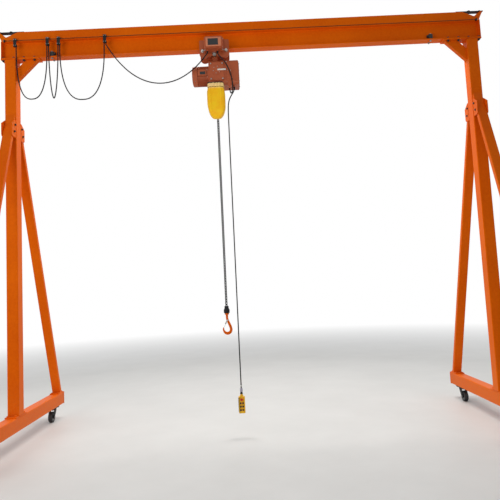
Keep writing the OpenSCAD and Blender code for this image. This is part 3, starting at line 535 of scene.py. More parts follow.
lead = loop_route((HANGER_X[3] + HANGER_HALF, WIRE_Y, SADDLE_Z), LEAD_END, LEAD_DROP)
bm = bmesh.new()
swept(bm, lead, CABLE_R, 14)
festoon_lead = piece("festoon_last_loop", bm, CABLE, None, 60)
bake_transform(festoon_lead)
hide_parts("festoon_lead")
print("last loop", round(length_of(lead), 2), "m")

# %% [markdown]
# The cable from the trolley's motor runs down past the front of the hoist and turns up into
# the control box. It is measured from the middle of the trolley and the top of the hoist, as
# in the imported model.

# %% Cable to the hoist
TROLLEY_X, HOIST_TOP = -0.300, 3.953
HOIST_CABLE_MM = [
    (38, -144, 80), (38, -144, 60), (50, -146, 30), (82, -148, -4), (114, -148, -48),
    (138, -148, -96), (158, -148, -152), (173, -148, -212), (181, -147, -262),
    (182, -146, -300), (180, -140, -336), (175, -124, -360), (168, -102, -371),
    (160, -78, -362), (153, -60, -340), (148, -51, -314), (147, -50, -302), (147, -50, -290),
]
hoist_route = [(TROLLEY_X + x / 1000, y / 1000, HOIST_TOP + z / 1000)
               for x, y, z in HOIST_CABLE_MM]
hoist_cable = cable("hoist_supply_cable", [hoist_route], "trolley")
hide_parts("hoist_cable")

# %% [markdown]
# The load chain is a real one, link by link. One link starts as a circle of steel beside the
# chain's middle line. A spin carries it round the upper bend, an extrude down one side, a
# second spin round the lower bend and a last extrude back up. The links are stamped one pitch
# apart, each turned a quarter from the last, which is how a chain hangs.

# %% Load chain
CHAIN_X = -0.295
BLOCK_TOP, BLOCK_H = 1.326, 0.074
CHAIN_D, LINK_PITCH = 0.009, 0.027
CHAIN_BEND = 1.16 * CHAIN_D
FUNNEL = 0.020
CHAIN_FOOT = BLOCK_TOP - FUNNEL + 0.0003
LINKS, BAR_SIDES, BEND_STEPS = 90, 8, 6


def verts_in(geom):
    return [g for g in geom if isinstance(g, bmesh.types.BMVert)]


def edges_in(geom):
    return [g for g in geom if isinstance(g, bmesh.types.BMEdge)]


def chain_link():
    """One oval link round the origin, its long axis along Z, lying in X and Z."""
    bm = bmesh.new()
    half = (LINK_PITCH + CHAIN_D) / 2 - CHAIN_BEND
    ring = bmesh.ops.create_circle(bm, cap_ends=False, segments=BAR_SIDES, radius=CHAIN_D / 2,
                                   matrix=at(CHAIN_BEND, 0, half))
    ends = ring["verts"] + edges_of(ring["verts"])
    for turn in (1, -1):
        ends = bmesh.ops.spin(bm, geom=ends, cent=(0, 0, turn * half), axis=(0, -1, 0),
                              angle=math.pi, steps=BEND_STEPS,
                              use_merge=False, use_duplicate=False)["geom_last"]
        moved = bmesh.ops.extrude_edge_only(bm, edges=edges_in(ends))["geom"]
        verts = verts_in(moved)
        bmesh.ops.translate(bm, verts=verts, vec=(0, 0, -turn * 2 * half))
        ends = verts + edges_in(moved)
    bmesh.ops.remove_doubles(bm, verts=bm.verts, dist=0.0002)
    return to_mesh(bm, "link")


link = chain_link()
bm = bmesh.new()
for i in range(LINKS):
    z = CHAIN_FOOT + CHAIN_D + LINK_PITCH * (i + 0.5)
    stamp(bm, link, at(CHAIN_X, 0, z) @ Matrix.Rotation(math.radians(45 if i % 2 else -45), 4, "Z"))
load_chain = piece("load_chain_links", bm, CHAIN_STEEL, None, 80, ["load_chain"])
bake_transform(load_chain)
print(LINKS, "links of", len(link.polygons), "faces")

# %% [markdown]
# The hook is forged: one bar that is round at the neck, swells into a deep bowl and thins out
# to a rounded tip. A line of points gives its middle and a function its thickness; rings along
# the line are bridged. The bowl's sides are then pressed a little flatter, as the hammer leaves
# them. The collar over it is a profile spun round the chain's axis.

# %% Hook
HOOK_TOP = BLOCK_TOP - BLOCK_H - 0.0003
HOOK_R, HOOK_D, HOOK_L = 0.038, 0.028, 0.225
NECK_Z, BOWL_Z = -0.046, HOOK_R + HOOK_D * 0.57 - HOOK_L
NECK_STEPS, BOWL_STEPS = 16, 36


def turned(bm, profile, place, segments=40):
    """A profile of (radius, height) points spun once round Z, then put in place."""
    lathe = bmesh.new()
    verts = [lathe.verts.new((r, 0, z)) for r, z in profile]
    edges = [lathe.edges.new(pair) for pair in zip(verts, verts[1:])]
    bmesh.ops.spin(lathe, geom=verts + edges, cent=(0, 0, 0), axis=(0, 0, 1), angle=2 * math.pi,
                   steps=segments, use_merge=True, use_duplicate=False)
    bmesh.ops.remove_doubles(lathe, verts=lathe.verts, dist=0.00015)
    bmesh.ops.recalc_face_normals(lathe, faces=lathe.faces)
    lathe.transform(place)
    join(bm, lathe)


def hook_line():
    """The middle of the bar: down from the neck in a soft curve, then round the bowl."""
    points = []
    for i in range(NECK_STEPS):
        u = i / NECK_STEPS
        k = 1 - u
        x = 3 * k * u * u * HOOK_R + u ** 3 * HOOK_R
        z = (k ** 3 * NECK_Z + 3 * k * k * u * (NECK_Z - 0.034)
             + 3 * k * u * u * (BOWL_Z + 0.040) + u ** 3 * BOWL_Z)
        points.append((x, 0, z))
    for i in range(BOWL_STEPS + 1):
        angle = math.radians(-i * 5.7)
        r = HOOK_R + max(0.0, (i / 2 - 14)) * 0.0016
        points.append((r * math.cos(angle), 0, BOWL_Z + r * math.sin(angle)))
    return points


def hook_size(i):
    """The bar's radius at a point of the line: it grows to the bowl and thins to the tip."""
    u = i / (len(HOOK_LINE) - 1)
    grown = 0.86 + 0.28 * u / 0.58 if u < 0.58 else 1.14 - 0.72 * ((u - 0.58) / 0.42) ** 1.3
    return HOOK_D * grown / 2


HOOK_LINE = hook_line()
hook_place = at(CHAIN_X, 0, HOOK_TOP)
bm = bmesh.new()
swept(bm, HOOK_LINE, hook_size, 20)
tip = Vector(HOOK_LINE[-1])
tip_r = hook_size(len(HOOK_LINE) - 1)
bmesh.ops.create_uvsphere(bm, u_segments=20, v_segments=12, radius=tip_r * 0.995,
                          matrix=Matrix.Translation(tip))
for vert in bm.verts:
    if vert.co.z < BOWL_Z + 0.03:
        vert.co.y *= 0.90
turned(bm, [(0.0001, 0), (0.0205, 0), (0.023, -0.0025), (0.023, -0.0125), (0.0215, -0.014),
            (0.0165, -0.014), (0.0125, -0.019), (0.0120, -0.052), (0.0001, -0.052)],
       Matrix.Identity(4))
bm.transform(hook_place)
piece("forged_hook", bm, ORANGE, "hook", 50, ["hook"])

# %% [markdown]
# A sprung latch closes the hook's mouth. It is a strip bent into a shallow channel with a
# rounded nose, on a pin across the back of the hook, with the coil of its spring round the pin.

# %% Latch
PIN = Vector((0.006, 0, -0.074))
LATCH_W, LATCH_T, CHEEK_Y, CHEEK_HALF = 0.016, 0.003, 0.0105, 0.0012


def latch_mesh():
    """The latch strip along +X from its pin, ready to be turned towards the tip."""
    reach = (tip - PIN).length - 0.007
    bm = bmesh.new()
    block(bm, (-0.002, -LATCH_W / 2, -LATCH_T / 2), (reach, LATCH_W / 2, LATCH_T / 2))
    end = [e for e in bm.edges if all(v.co.x > reach - 0.001 for v in e.verts)]
    nose = [e for e in end if abs(e.verts[0].co.z - e.verts[1].co.z) > 0.001]
    soften(bm, nose, 0.0055, 5)
    for side in (-1, 1):
        cheek = side * CHEEK_Y
        block(bm, (-0.008, cheek - CHEEK_HALF, -0.010),
              (reach * 0.55, cheek + CHEEK_HALF, 0.0035), 0.0008, 1)
    return bm


bm = latch_mesh()
toward = math.atan2(tip.z - PIN.z, tip.x - PIN.x)
bm.transform(Matrix.Translation(PIN) @ Matrix.Rotation(-toward, 4, "Y"))
rod(bm, PIN + Vector((0, -0.018, 0)), PIN + Vector((0, 0.018, 0)), 0.0045, 20)
for side in (-1, 1):
    rod(bm, PIN + Vector((0, side * 0.0165, 0)), PIN + Vector((0, side * 0.0185, 0)), 0.0075, 20)
bm.transform(hook_place)
piece("hook_latch", bm, ZINC, "hook", 35)

COIL_R, COIL_L, COIL_STEPS = 0.0066, 0.016, 72

coil = []
for i in range(COIL_STEPS + 1):
    angle = i * math.pi / 6
    coil.append(PIN + Vector((COIL_R * math.cos(angle), -COIL_L / 2 + COIL_L * i / COIL_STEPS,
                              COIL_R * math.sin(angle))))
bm = bmesh.new()
swept(bm, coil, 0.0009, 8)
bm.transform(hook_place)
piece("latch_spring", bm, ZINC, "hook", 60)

# %% [markdown]
# The hook block is a turned body with a waist and a flared funnel that takes the chain's last
# link. Its profile of radius and height is spun round the chain's axis, so the groove between
# its two halves and the rolled lip are points of one line.

# %% Hook block
LINK_W = 2 * CHAIN_BEND + CHAIN_D
FUNNEL_R = (LINK_W + 0.003) / 2
NECK_R = (LINK_W + 0.014) / 2
BLOCK_R = 0.031

bm = bmesh.new()
turned(bm, [
    (0.0001, 0), (BLOCK_R - 0.009, 0), (BLOCK_R - 0.003, 0.002), (BLOCK_R - 0.0006, 0.006),
    (BLOCK_R, 0.010), (BLOCK_R, 0.0155), (BLOCK_R - 0.0014, 0.017), (BLOCK_R, 0.0185),
    (BLOCK_R, BLOCK_H * 0.44), (BLOCK_R - 0.0015, BLOCK_H * 0.52),
    (BLOCK_R - 0.006, BLOCK_H * 0.62), (NECK_R + 0.0006, BLOCK_H * 0.74),
    (NECK_R, BLOCK_H * 0.80), (NECK_R, BLOCK_H - 0.004), (NECK_R - 0.0012, BLOCK_H - 0.001),
    (NECK_R - 0.003, BLOCK_H), (FUNNEL_R + 0.001, BLOCK_H), (FUNNEL_R, BLOCK_H - 0.002),
    (FUNNEL_R, BLOCK_H - FUNNEL), (0.0001, BLOCK_H - FUNNEL),
], at(CHAIN_X, 0, BLOCK_TOP - BLOCK_H), 48)
piece("hook_block_body", bm, BLACK_PAINT, "hook_block", 40, ["hook_block"])

# %% [markdown]
# The chain bag is a soft one, sewn from coated cloth: a front, a back and a long gusset round
# the sides and the foot. It hangs from a steel frame under the hoist, where its top is drawn
# together by a cord, and the slack chain in it rounds its foot. A loft makes it: rings shaped
# as rounded rectangles, bridged from the frame down to a pole under the foot. Four of its
# columns keep the places of the seams.

# %% Chain bag: the loft
BAG_X, BAG_Y = CHAIN_X - 0.003, -0.132
BAG_TOP, BAG_H = 3.6807, 0.378
BAG_HALF_W, BAG_HALF_D = 0.101, 0.070
BAG_FOOT = BAG_TOP - BAG_H + 0.004
HEM = BAG_TOP - 0.012
NECK = HEM - 0.040
FOOT_H = 0.152
FOOT_R_W, FOOT_R_D = 0.012, 0.010
DRAW_H, DRAWN_W, DRAWN_D = 0.052, 0.20, 0.12
AROUND, STRAIGHT_RINGS = 96, 24
GIRTH = 0.60


def rounded(angle, half_x, half_y, power=5.0):
    """The corner-rounded rectangle through half_x and half_y, at an angle round its middle."""
    c, s = math.cos(angle), math.sin(angle)
    reach = (abs(c) ** power + abs(s) ** power) ** (-1 / power)
    return half_x * reach * c, half_y * reach * s


def bag_ring(height):
    """Half widths of the bag at a height above its foot, from the round foot to the drawn neck."""
    full_w = math.sqrt(1 - max(0.0, 1 - height / FOOT_H) ** 2)
    full_d = math.sqrt(1 - max(0.0, 1 - height / (0.6 * FOOT_H)) ** 2)
    draw = min(1.0, max(0.0, (height - (NECK - BAG_FOOT) + DRAW_H) / DRAW_H))
    draw = draw * draw * (3 - 2 * draw)
    return ((FOOT_R_W + (BAG_HALF_W - FOOT_R_W) * full_w) * (1 - DRAWN_W * draw),
            (FOOT_R_D + (BAG_HALF_D - FOOT_R_D) * full_d) * (1 - DRAWN_D * draw))


def bag_heights():
    """Heights of the loft's rings above the foot, closer together where the foot is round."""
    whole = HEM - BAG_FOOT
    foot = [FOOT_H * (1 - math.cos(math.radians(a))) for a in range(8, 91, 5)]
    straight = [FOOT_H + (whole - FOOT_H) * i / STRAIGHT_RINGS
                for i in range(1, STRAIGHT_RINGS + 1)]
    return [0.0] + foot + straight


def bag_loft():
    bm = bmesh.new()
    uv = bm.loops.layers.uv.new("cloth")
    rings = []
    levels = [(0.0, share) for share in (0.25, 0.55, 0.82)] + [(h, 1.0) for h in bag_heights()]
    for height, share in levels:
        made = bmesh.ops.create_circle(bm, cap_ends=False, segments=AROUND, radius=1.0)["verts"]
        half_x, half_y = bag_ring(height)
        for vert in made:
            x, y = rounded(math.atan2(vert.co.y, vert.co.x), half_x * share, half_y * share)
            vert.co = (BAG_X + x, BAG_Y + y, BAG_FOOT + height)
        rings.append(made)
    for low, high in zip(rings, rings[1:]):
        open_edges = [e for e in edges_of(low + high) if e.is_boundary or e.is_wire]
        bmesh.ops.bridge_loops(bm, edges=open_edges)
    bmesh.ops.contextual_create(bm, geom=rings[0])
    bmesh.ops.poke(bm, faces=[f for f in bm.faces if len(f.verts) == AROUND])
    return bm, rings, uv


def angle_round_bag(p):
    return math.atan2(p.y - BAG_Y, p.x - BAG_X)


def unroll(bm, uv):
    """Lays the cloth's UV map: metres round the bag across, metres above the foot up."""
    for face in bm.faces:
        before_seam = any(angle_round_bag(v.co) < -0.01 and v.co.x > BAG_X for v in face.verts)
        for loop in face.loops:
            p = loop.vert.co
            around = angle_round_bag(p) / math.tau % 1.0
            if around < 0.01 and before_seam:
                around += 1.0
            loop[uv].uv = (around * GIRTH, p.z - BAG_FOOT)


bm, rings, uv = bag_loft()
unroll(bm, uv)
bm.verts.index_update()
ring_ids = [[v.index for v in ring] for ring in rings]
neck_level = min(range(len(rings)), key=lambda k: abs(rings[k][0].co.z - NECK))
bag_mesh = to_mesh(bm, "chain_bag_cloth")
print("bag loft", len(bag_mesh.polygons), "faces,", len(ring_ids), "rings")

# %% [markdown]
# The loft is then hung as cloth. The ring at the frame and the ring under the draw cord are
# pinned; the cloth is given a few percent more length than its space, so that it creases
# under the neck, while a light pressure stands for the chain that lies in it. Before the
# result is applied, no point may end more than a set distance from where the loft had it.
# The folds that the draw cord gathers are laid over it afterwards, deepest at the hem.

# %% Chain bag: hang it
CREASE_ROOM = 0.035
MOST_MOVE = 0.009
FRAMES = 22
PLEAT_DEPTH, POINTS_PER_PLEAT, PLEAT_LEVELS = 0.0062, 6.0, 4


def hang(mesh, pinned):
    """Runs the cloth on a copy of the mesh and returns where its points end."""
    sample = bpy.data.objects.new("bag_hanging", mesh.copy())
    SCENE.collection.objects.link(sample)
    group = sample.vertex_groups.new(name="pin")
    for ids, weight in pinned:
        group.add(ids, weight, "REPLACE")
    cloth = sample.modifiers.new("cloth", "CLOTH")
    settings = cloth.settings
    settings.quality = 6
    settings.mass = 0.25
    settings.tension_stiffness = settings.compression_stiffness = 12
    settings.shear_stiffness = 6
    settings.bending_stiffness = 0.4
    settings.vertex_group_mass = "pin"
    settings.use_pressure = True
    settings.uniform_pressure_force = 1.6
    settings.shrink_min = settings.shrink_max = -CREASE_ROOM
    cloth.collision_settings.use_collision = False
    cloth.collision_settings.use_self_collision = False
    settings.effector_weights.gravity = 0.6
    SCENE.frame_start, SCENE.frame_end = 1, FRAMES
    for frame_number in range(1, FRAMES + 1):
        SCENE.frame_set(frame_number)
    hung = sample.evaluated_get(bpy.context.evaluated_depsgraph_get()).to_mesh()
    places = [v.co.copy() for v in hung.vertices]
    bpy.data.objects.remove(sample)
    SCENE.frame_set(1)
    return places


def capped(old, new, most):
    """The new place, drawn back so that it is no further than most from the old one."""
    move = new - old
    return old + move * min(1.0, most / max(move.length, 1e-9))


def away_from_bag(p):
    return Vector((p.x - BAG_X, p.y - BAG_Y, 0)).normalized()


pinned = [(ring_ids[-1], 1.0), (ring_ids[neck_level], 0.92), (ring_ids[neck_level - 1], 0.6)]
places = hang(bag_mesh, pinned)
moved = 0.0
for vert, place in zip(bag_mesh.vertices, places):
    new = capped(vert.co, place, MOST_MOVE)
    moved = max(moved, (new - vert.co).length)
    vert.co = new

first_pleated = neck_level - PLEAT_LEVELS
for level in range(first_pleated, len(ring_ids)):
    rise = (level - first_pleated) / (len(ring_ids) - 1 - first_pleated)
    for k, vertex in enumerate(ring_ids[level]):
        p = bag_mesh.vertices[vertex].co
        fold = math.sin(k * math.tau / POINTS_PER_PLEAT + 0.8 * math.sin(k * 0.37))
        bag_mesh.vertices[vertex].co = p + away_from_bag(p) * fold * PLEAT_DEPTH * rise
print("the cloth moved by up to", round(moved * 1000, 1), "mm")

# %% [markdown]
# The cloth's finish: a yellow coated weave. Two crossed waves on the piece's own UV map make
# the threads, a soft noise makes the handling marks, and the drawn neck is painted paler: a
# painted glow for light coming through the single cloth. A little sheen stands for the coating's
# haze.

# %% Finish: bag cloth


def bag_cloth():
    n = Nodes("bag_cloth")
    uv_map = n.add("ShaderNodeUVMap", uv_map="cloth")
    threads = []
    for direction in ("X", "Y"):
        wave = n.add("ShaderNodeTexWave", wave_type="BANDS", bands_direction=direction,
                     wave_profile="SIN")
        wave.inputs["Scale"].default_value = 260.0
        wave.inputs["Distortion"].default_value = 0.4
        n.link(uv_map.outputs["UV"], wave.inputs["Vector"])
        threads.append(wave.outputs["Fac"])
    cloud = n.noise(14.0, 4.0, 0.6)
    body = n.ramp(cloud, [(0.34, srgb(255, 186, 4)), (0.66, srgb(255, 206, 20))])
    # A painted glow: the cloth is painted paler towards the drawn neck, for light through the
    # single cloth.
    painted_glow_share = n.spread(n.height(), 0.0, 0.85, BAG_TOP - 0.078, BAG_TOP - 0.040)
    worn = n.spread(n.noise(60.0, 5.0, 0.7), 0.0, 0.16, 0.5, 0.75)
    with_painted_glow = n.mix(painted_glow_share, body, srgb(255, 222, 160))
    n.surface(n.mix(worn, with_painted_glow, srgb(206, 150, 40)), n.spread(cloud, 0.48, 0.62))
    n.bump((n.noise(90.0, 3.0, 0.6), 0.0012, 0.35), (n.product(*threads), 0.0004, 0.6))
    n.set(Sheen_Weight=0.04, Sheen_Roughness=0.5, Specular_IOR_Level=0.25)
    return n.material


BAG_CLOTH = bag_cloth()
bag_mesh.materials.append(BAG_CLOTH)
bag_mesh.shade_smooth()
chain_bag = bpy.data.objects.new("chain_bag_cloth", bag_mesh)
SCENE.collection.objects.link(chain_bag)
wall = chain_bag.modifiers.new("cloth_wall", "SOLIDIFY")
wall.thickness = 0.0014
wall.offset = 0.0
smooth = chain_bag.modifiers.new("smooth", "SUBSURF")
smooth.levels = smooth.render_levels = 1
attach(chain_bag, "trolley")
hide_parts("chain_bag")

# %% [markdown]
# The trim is sewn along the hung cloth, so its lines are read from the bag's own points: tape
# over the seams between front and gusset, which runs down one side, round the foot and up the
# other, the same at the back, and a draw cord in the neck with a knot of two short ends.

# %% Chain bag: seams, cord and frame
FRONT_SEAMS, BACK_SEAMS, SEAM_FOOT = (238, 302), (122, 58), 6


def along_cloth(ids, out=0.0006):
    """The points of the cloth at these vertices, moved a little outwards."""
    middle = Vector((BAG_X, BAG_Y, BAG_FOOT + 0.15))
    line = []
    for i in ids:
        p = bag_mesh.vertices[i].co
        line.append(p + (p - middle).normalized() * out)
    return line


def seam_ids(front):
    """Down one corner of the bag, along the foot and up the other corner."""
    start, end = (round(AROUND * a / 360) for a in (FRONT_SEAMS if front else BACK_SEAMS))
    foot = SEAM_FOOT
    down = [ring_ids[level][start] for level in range(neck_level - 2, foot, -1)]
    step = 1 if end > start else -1
    across = [ring_ids[foot][k] for k in range(start, end + step, step)]
    up = [ring_ids[level][end] for level in range(foot + 1, neck_level - 1)]
    return down + across + up


bm = bmesh.new()
for front in (True, False):
    swept(bm, along_cloth(seam_ids(front)), 0.0021, 8)
piece("chain_bag_seam_tape", bm, BAG_CLOTH, "trolley", 60)

CORD_END = ((0.0, 0.002, 0.0), (0.004, 0.005, 0.003), (0.006, 0.006, 0.012),
            (0.007, 0.005, 0.026), (0.010, 0.004, 0.036))
neck_line = along_cloth(ring_ids[neck_level], 0.002)
bm = bmesh.new()
swept(bm, neck_line + neck_line[:2], 0.0026, 8)
knot = neck_line[round(AROUND * 285 / 360)]
for side in (-1, 1):
    drop = [knot + Vector((side * x, -y, -z)) for x, y, z in CORD_END]
    swept(bm, drop, 0.0022, 8)
bmesh.ops.create_uvsphere(bm, u_segments=12, v_segments=8, radius=0.0052,
                          matrix=Matrix.Translation(knot + Vector((0, -0.002, 0))))
piece("chain_bag_draw_cord", bm, CABLE, "trolley", 60)

bm = bmesh.new()
frame_half_w, frame_half_d = (1 - DRAWN_W) * BAG_HALF_W, (1 - DRAWN_D) * BAG_HALF_D
corners = []
for k in range(64):
    x, y = rounded(2 * math.pi * k / 64, frame_half_w, frame_half_d, 8.0)
    corners.append((BAG_X + x, BAG_Y + y, BAG_TOP - 0.0065))
swept(bm, corners + corners[:2], 0.0045, 10)
for side in (-1, 1):
    block(bm, (BAG_X + side * 0.060 - 0.010, BAG_Y + 0.006, BAG_TOP - 0.009),
          (BAG_X + side * 0.060 + 0.010, BAG_Y + BAG_HALF_D, BAG_TOP - 0.0005), 0.001, 1)
piece("chain_bag_frame", bm, BLACK_PAINT, "trolley", 40)

# %% [markdown]
# Bolts, nuts and washers are small, but they say how the crane goes together: the beam is
# bolted to the head plates, the braces to their brackets and feet, the columns to the base and
# the casters under it. One hexagon bolt head, one nut and one screw head are modelled for a
# thread one unit across, so that a stamp only has to scale them to the size at hand.

# %% Fasteners: one head, one nut, one screw
WASHER_T = 0.17


def chamfered(bm, radius, low, high, sides, chamfer, steps):
    """An upright prism whose upper rim is bevelled."""
    made = bmesh.ops.create_cone(bm, cap_ends=True, segments=sides, radius1=radius, radius2=radius,
                                 depth=high - low, matrix=at(0, 0, (low + high) / 2))
    rim = [e for e in edges_of(made["verts"]) if all(v.co.z > high - 1e-5 for v in e.verts)]
    soften(bm, rim, chamfer, steps)


def disc(bm, radius, low, high, segments, top=None):
    rod(bm, (0, 0, low), (0, 0, high), radius, segments, top)


def washer_and_hexagon(bm, top):
    disc(bm, 0.95, 0.0, WASHER_T, 20)
    chamfered(bm, 1.5 / math.sqrt(3), WASHER_T, top, 6, 0.10, 1)


def bolt_head():
    bm = bmesh.new()
    washer_and_hexagon(bm, 0.80)
    disc(bm, 0.52, 0.79, 0.82, 14)
    return to_mesh(bm, "bolt_head")


def nut_and_end():
    bm = bmesh.new()
    washer_and_hexagon(bm, 0.97)
    disc(bm, 0.47, 0.96, 1.25, 14)
    disc(bm, 0.47, 1.25, 1.33, 14, 0.38)
    return to_mesh(bm, "nut_and_end")


def screw_head():
    bm = bmesh.new()
    chamfered(bm, 0.85, 0.0, 0.9, 16, 0.16, 2)
    top = max(bm.faces, key=lambda f: f.calc_center_median().z)
    bmesh.ops.inset_region(bm, faces=[top], thickness=0.28, depth=0.0)
    bmesh.ops.translate(bm, verts=top.verts, vec=(0, 0, -0.4))
    return to_mesh(bm, "screw_head")


HEAD, NUT, SCREW = bolt_head(), nut_and_end(), screw_head()
TO_FRONT, TO_BACK, UP, DOWN = (0, -1, 0), (0, 1, 0), (0, 0, 1), (0, 0, -1)


def fasten(bm, mesh, place, direction, size, turn):
    """Stamps a head or nut of this thread size, in metres, standing off a face along direction."""
    stamp(bm, mesh, Matrix.Translation(place) @ facing(direction) @ Matrix.Rotation(turn, 4, "Z")
          @ Matrix.Diagonal((size, size, size, 1.0)))


def bolted(bm, head, nut, size):
    """A bolt from its head's seat to its nut's seat."""
    head, nut = Vector(head), Vector(nut)
    fasten(bm, HEAD, head, head - nut, size, 0.26)
    fasten(bm, NUT, nut, nut - head, size, 0.52)


print("bolt head", len(HEAD.polygons), "faces, nut", len(NUT.polygons), "faces")

# %% [markdown]
# Then the bolts go where the plates meet. The bolts on the base beams were painted over with
# the frame, so they are a piece of their own in its paint.

# %% Fasteners on the frame
BEAM_LOW, BEAM_TOP, FLANGE_T = 4.100, 4.300, 0.010
COLUMN_X, COLUMN_HALF = 2.510, 0.060
BASE_LOW, BASE_TOP = 0.170, 0.310
BRACE_PLATE_TOP, COLUMN_PLATE_TOP, STRAP_TOP = 0.320, 0.322, 4.413
CASTER_Y, CASTER_PLATE_LOW = 1.000, 0.162
HEAD_BOLT, BOLT_M16, BOLT_M12, BOLT_M10 = 0.014, 0.016, 0.012, 0.010
FLANGE_BOLT_Y, FLANGE_BOLT_X, STRUT_BOLT_X = 0.0375, (2.255, 2.368, 2.592), 2.480
FOOT_BOLT_X, FOOT_BOLT_Y, BRACE_BOLT_X = 0.038, 0.094, 0.03496
BRACE_BOLTS = ((1.196, 0.5), (1.074, 0.1))
BRACKET_HALF, BRACKET_BOLTS = 0.058, ((0.104, 3.275), (0.084, 3.352))
CASTER_BOLT_X, CASTER_BOLT_Y = 0.043, 0.058

bm, foot = bmesh.new(), bmesh.new()
for side in (-1, 1):
    plate_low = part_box("head_plate_left" if side < 0 else "head_plate_right")[0][2]
    for y in (-FLANGE_BOLT_Y, FLANGE_BOLT_Y):
        for x in FLANGE_BOLT_X:
            bolted(bm, (side * x, y, BEAM_LOW + FLANGE_T), (side * x, y, plate_low), HEAD_BOLT)
        fasten(bm, HEAD, (side * STRUT_BOLT_X, y, BEAM_LOW + FLANGE_T), UP, HEAD_BOLT, 0.2)
    for front in (-1, 1):
        for across in (-1, 1):
            place = (side * COLUMN_X + across * FOOT_BOLT_X, front * FOOT_BOLT_Y, COLUMN_PLATE_TOP)
            fasten(foot, HEAD, place, UP, BOLT_M16, 0.3)
            for y, turn in BRACE_BOLTS:
                place = (side * COLUMN_X + across * BRACE_BOLT_X, front * y, BRACE_PLATE_TOP)
                fasten(foot, HEAD, place, UP, BOLT_M12, turn)
        for y, z in BRACKET_BOLTS:
            left, right = ((side * COLUMN_X + out, front * y, z)
                           for out in (-BRACKET_HALF, BRACKET_HALF))
            bolted(bm, left, right, BOLT_M12)
piece("frame_bolts", bm, BLACK_BOLT, "gantry", 30)
piece("foot_bolts", foot, ORANGE, "gantry", 30)

bm = bmesh.new()
for side in (-1, 1):
    for front in (-1, 1):
        for x in (-CASTER_BOLT_X, CASTER_BOLT_X):
            for y in (-CASTER_BOLT_Y, CASTER_BOLT_Y):
                place = (side * COLUMN_X + x, front * CASTER_Y + y, CASTER_PLATE_LOW)
                fasten(bm, HEAD, place, DOWN, BOLT_M10, 0.3)
    for x, size in ((2.388, BOLT_M12), (2.638, BOLT_M16)):
        fasten(bm, HEAD, (side * x, 0, STRAP_TOP), UP, size, 0.4)
piece("caster_and_strap_bolts", bm, BLACK_BOLT, "gantry", 30)

# %% [markdown]
# Welded joints show as beads: a fillet of metal with a fine ripple, where two plates meet at a
# right angle. A bead is a bar swept along the joint, whose radius rises and falls with every
# stroke of the torch. Half of it is buried in the corner, as a real fillet is.

# %% Weld beads
STROKE = 0.006


def strokes_along(corners, closed):
    """Points one stroke apart along straight runs between corners."""
    corners = [Vector(c) for c in corners]
    if closed:
        corners.append(corners[0])
    runs = list(zip(corners, corners[1:]))
    points = []
    for a, b in runs:
        count = max(2, round((b - a).length / STROKE))
        points += [a.lerp(b, i / count) for i in range(count)]
    return points + [runs[-1][1]]


def bead(bm, corners, radius, closed=True):
    def ripple(i):
        return radius * (1.0 + 0.13 * math.sin(i * 2.2) + 0.05 * math.sin(i * 0.9))
    swept(bm, strokes_along(corners, closed), ripple, 7)


def bead_box(bm, x0, x1, y0, y1, z, radius=0.0045):
    bead(bm, [(x0, y0, z), (x1, y0, z), (x1, y1, z), (x0, y1, z)], radius)


KNEE_FAR, KNEE_NEAR, KNEE_HALF = 0.232, 0.0962, 0.025
HEAD_PLATE_LOW = 4.088
BEAM_HALF, BASE_HALF = 2.605, 1.220
BRACE_Y, BRACE_HALF_X, BRACE_HALF_Y = 1.150, 0.050, 0.0275
EAR_X, EAR_HALF, EAR_HEIGHTS = 0.054, 0.004, (3.218, 3.404)
STITCHES, STITCH_X0, STITCH_PITCH, STITCH_HALF, STITCH_Y = 17, -2.40, 0.300, 0.035, 0.050

bm = bmesh.new()
for side in (-1, 1):
    x = side * COLUMN_X
    left, right = x - COLUMN_HALF, x + COLUMN_HALF
    for z in (COLUMN_PLATE_TOP, HEAD_PLATE_LOW):
        bead_box(bm, left, right, -COLUMN_HALF, COLUMN_HALF, z)
    for front in (-1, 1):
        y, brace = front * BASE_HALF, front * BRACE_Y
        bead(bm, [(left, y, BASE_LOW), (right, y, BASE_LOW),
                  (right, y, BASE_TOP), (left, y, BASE_TOP)], 0.0028)
        bead_box(bm, x - BRACE_HALF_X, x + BRACE_HALF_X, brace - BRACE_HALF_Y,
                 brace + BRACE_HALF_Y, BRACE_PLATE_TOP, 0.004)
        for ear in (-EAR_X, EAR_X):
            for face in (-EAR_HALF, EAR_HALF):
                line = [(x + ear + face, front * COLUMN_HALF, z) for z in EAR_HEIGHTS]
                bead(bm, line, 0.0032, False)
    inner = side * (COLUMN_X - COLUMN_HALF)
    bead_box(bm, inner - side * KNEE_FAR, inner - side * KNEE_NEAR, -KNEE_HALF, KNEE_HALF,
             HEAD_PLATE_LOW, 0.0035)
    upper, lower = HEAD_PLATE_LOW - KNEE_NEAR, HEAD_PLATE_LOW - KNEE_FAR
    bead(bm, [(inner, -KNEE_HALF, upper), (inner, KNEE_HALF, upper),
              (inner, KNEE_HALF, lower), (inner, -KNEE_HALF, lower)], 0.0035)
    end = side * BEAM_HALF
    bead(bm, [(end, -0.050, 4.110), (end, -0.050, 4.290)], 0.0016, False)
    for y in (-0.003, 0.003):
        bead(bm, [(end, y, 4.112), (end, y, 4.288)], 0.0035, False)
piece("weld_beads", bm, WELD, "gantry", 60)

bm = bmesh.new()
for y in (-STITCH_Y, STITCH_Y):
    for i in range(STITCHES):
        x = STITCH_X0 + i * STITCH_PITCH
        bead(bm, [(x - STITCH_HALF, y, BEAM_TOP), (x + STITCH_HALF, y, BEAM_TOP)], 0.0022, False)
piece("cap_stitch_welds", bm, WELD, "gantry", 60)
